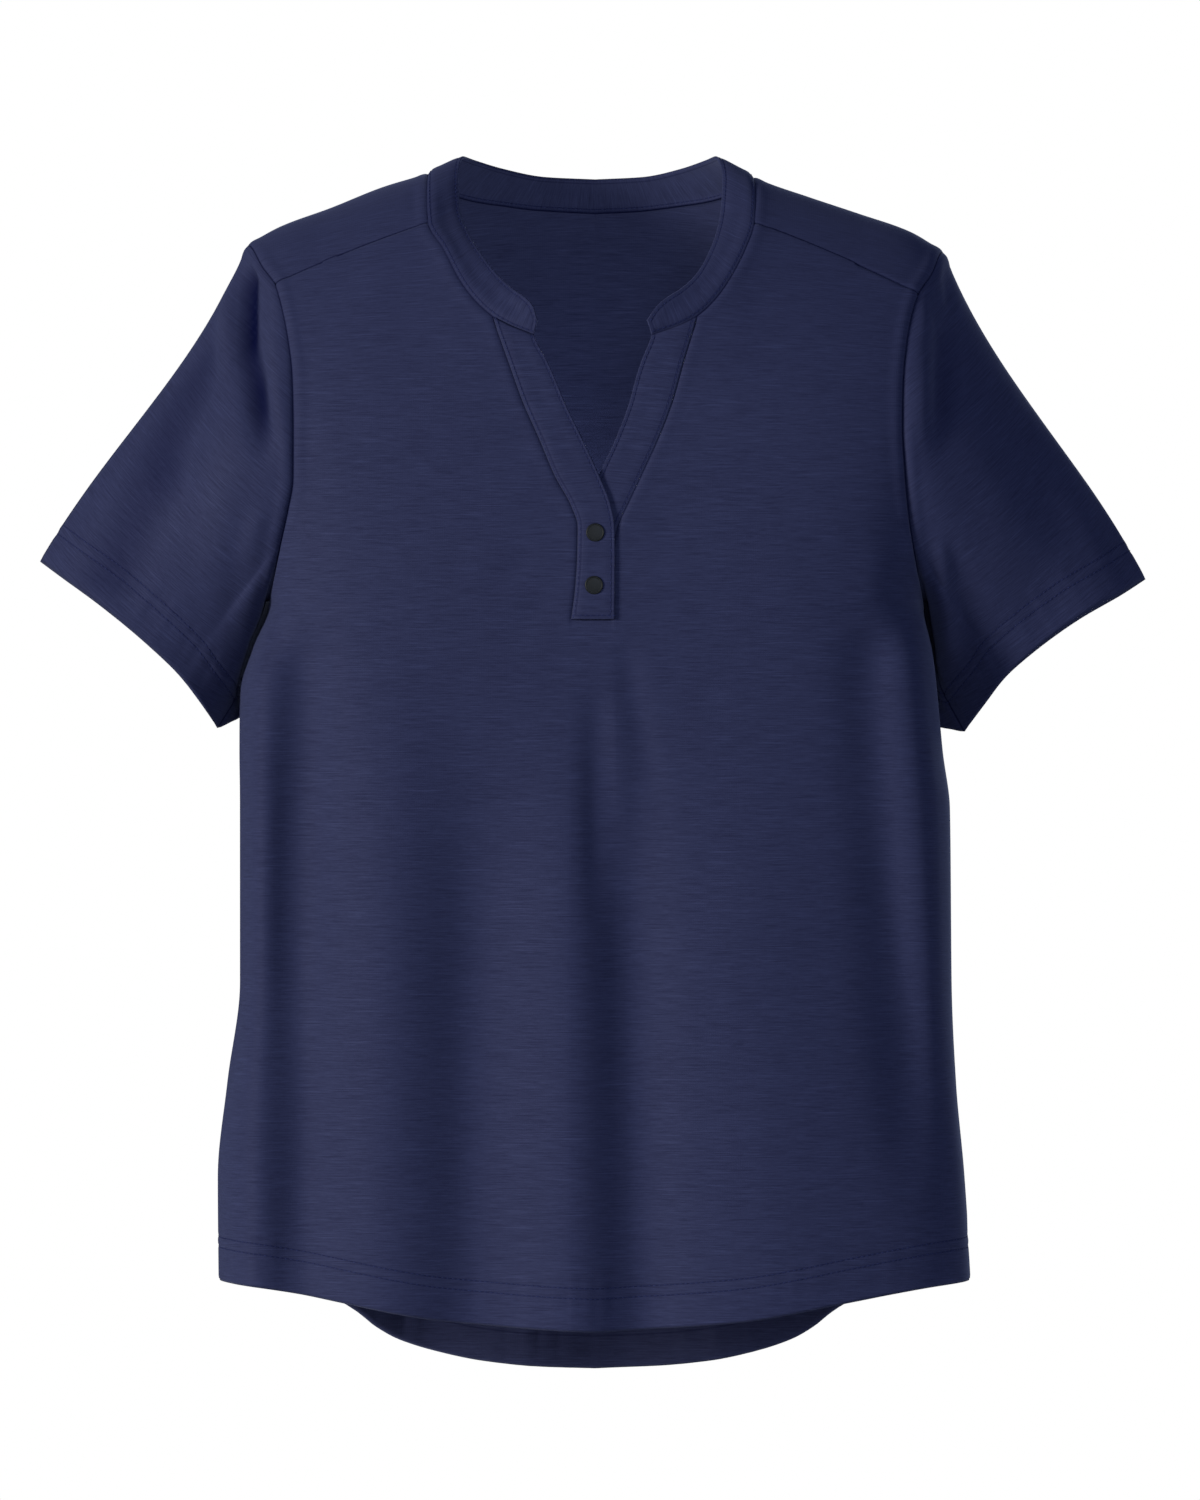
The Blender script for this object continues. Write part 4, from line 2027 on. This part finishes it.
class Shirt:
    """All pieces of the shirt, in the order in which they are made."""

    def __init__(self) -> None:
        """Cuts the seams and chooses the finishes."""
        self.form = BodyForm()
        self.seams = Seams(self.form, Counts())
        self.jersey = Jersey().build()
        self.thread = Thread().build()
        self.cap = CapFinish().build()
        self.front = Front(self.seams, FRONT_CREASES, Face.FRONT, FRONT_FOLDS)
        self.back = Back(self.seams, BACK_CREASES, Face.BACK, BACK_FOLDS,
                         HemRelief(gathers=Ripple(12.0, 1.3, 8), reach=12.0))
        self.band = Neckband(self.seams, BAND_CREASES, dome=0.5, dome_reach=7.0, stitch_dip=0.32)
        strip = partial(Strip, self.seams, dome=0.3, dome_reach=6.0, stitch_dip=0.3)
        self.strips = {"placket_over": strip(OVER_CREASES),
                       "placket_under": strip(UNDER_CREASES, side=Side.RIGHT)}
        self.sleeves = {
            "sleeve_left": Sleeve(self.seams, Side.LEFT, LEFT_FRONT_CREASES, LEFT_BACK_CREASES),
            "sleeve_right": Sleeve(self.seams, Side.RIGHT, RIGHT_FRONT_CREASES, RIGHT_BACK_CREASES)}
        self.trees: dict[str, BVHTree] = {}
        self.grids: dict[str, list[Grid]] = {}

    def cloths(self) -> dict[str, Cloth]:
        """Every sheet, raised along its normals."""
        makers = {"front_panel": self.front, "back_panel": self.back, "neckband": self.band,
                  **self.strips, **self.sleeves}
        made = {}
        for name, maker in makers.items():
            self.grids[name] = maker.grids()
            closed = name in self.sleeves
            made[name] = Cloth(name + "_cloth", self.grids[name], maker.thickness, closed=closed)
            centre = self.grids[name][0].points.reshape(-1, 3).mean(0) if closed else BODY_MIDDLE
            made[name].face_outwards(Vector(centre))
        body = [cloth for name, cloth in made.items() if name not in self.sleeves]
        shared = share_rims([body] + [[made[name]] for name in self.sleeves])
        for name, cloth in made.items():
            cloth.raise_points(shared)
            self.trees[name] = cloth.tree()
        return made

    def dress_cloth(self) -> None:
        """Builds the sheets, and declares each one and its cut."""
        for name, cloth in self.cloths().items():
            if name in ("front_panel", "back_panel", *self.sleeves):
                cloth.turn_hem(HEM_DEPTH, HEM_GAP)
            area = cloth.area()
            obj = cloth.finish(self.jersey)
            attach(obj, "root")
            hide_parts(name)
            LOG.info("%s: %.4f m2, %d faces", name, area, len(obj.data.polygons))

    def dress_snaps(self) -> None:
        """Builds the two snap caps."""
        for name, (height, out) in SNAPS.items():
            obj = Snap(name, height, out).build(self.form, self.cap)
            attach(obj, "root")
            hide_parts(name)

    def sew_hems(self) -> tuple[StitchRows, StitchRows, StitchRows]:
        """The rows of the hem and cuffs, and the overlock inside the hem."""
        hem, cuff = StitchRows("hem_stitches"), StitchRows("cuff_stitches")
        overlock = StitchRows("overlock_stitches", Stitch(length=4.2, slant=62.0, gap=0.0))
        lift = SINGLE / 2 + THREAD_LIFT
        for name in ("front_panel", "back_panel"):
            for grid in self.grids[name]:
                points, heights = grid.points[:HEM_ROWS], grid.hem[:HEM_ROWS]
                for want in HemRelief().rows:
                    hem.run(line_at(points, heights, want), self.trees[name], lift)
                edge = line_at(points, heights, HEM_DEPTH - OVERLOCK_INSET)
                overlock.run(edge, self.trees[name], -(lift + HEM_GAP))
        for name in self.sleeves:
            grid = self.grids[name][0]
            points, heights = grid.points[::-1][:HEM_ROWS], grid.hem[::-1][:HEM_ROWS]
            for want in HemRelief().rows:
                line = line_at(points, heights, want)
                cuff.run(np.concatenate([line, line[:1]]), self.trees[name], lift)
        return hem, cuff, overlock

    def sew_band(self) -> StitchRows:
        """The rows along the neckband's two edges, the lower one also on its inside at the back."""
        rows, lift = StitchRows("band_stitches"), DOUBLE / 2 + THREAD_LIFT
        tree, points = self.trees["neckband"], self.grids["neckband"][0].points
        across = along_axis(points, 0)
        lower, upper = (line_at(points, way, TOPSTITCH) for way in (across, across[-1:] - across))
        rows.run(lower, tree, lift)
        rows.run(upper, tree, lift)
        rows.run(lower[lower[:, 1] > BEHIND], tree, -lift)
        return rows

    def sew_strips(self) -> StitchRows:
        """The rows along the strips' two edges, and along the foot of the one on top."""
        rows, lift = StitchRows("placket_stitches"), DOUBLE / 2 + THREAD_LIFT
        for name in self.strips:
            points = self.grids[name][0].points
            across = along_axis(points, 1)
            for distances in (across, across[:, -1:] - across):
                line = line_at(points.transpose(1, 0, 2), distances.T, TOPSTITCH)
                rows.run(line, self.trees[name], lift)
        points = self.grids["placket_over"][0].points
        rows.run(line_at(points, along_axis(points, 0), TOPSTITCH), self.trees["placket_over"], lift)
        return rows

    def sew(self) -> None:
        """Lays the rows of stitches."""
        hem, cuff, overlock = self.sew_hems()
        for rows in (hem, cuff, self.sew_band(), self.sew_strips(), overlock):
            obj = rows.build(self.thread)
            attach(obj, "root")
            LOG.info("%s: %d faces", rows.name, len(obj.data.polygons))

    def build(self) -> None:
        """Builds the whole shirt."""
        self.dress_cloth()
        self.dress_snaps()
        self.sew()


def main() -> None:
    """Builds the shirt and its studio, and notes their size."""
    logging.basicConfig(level=logging.INFO, format="%(message)s")
    Studio().build()
    Shirt().build()


if __name__ == "__main__":
    main()
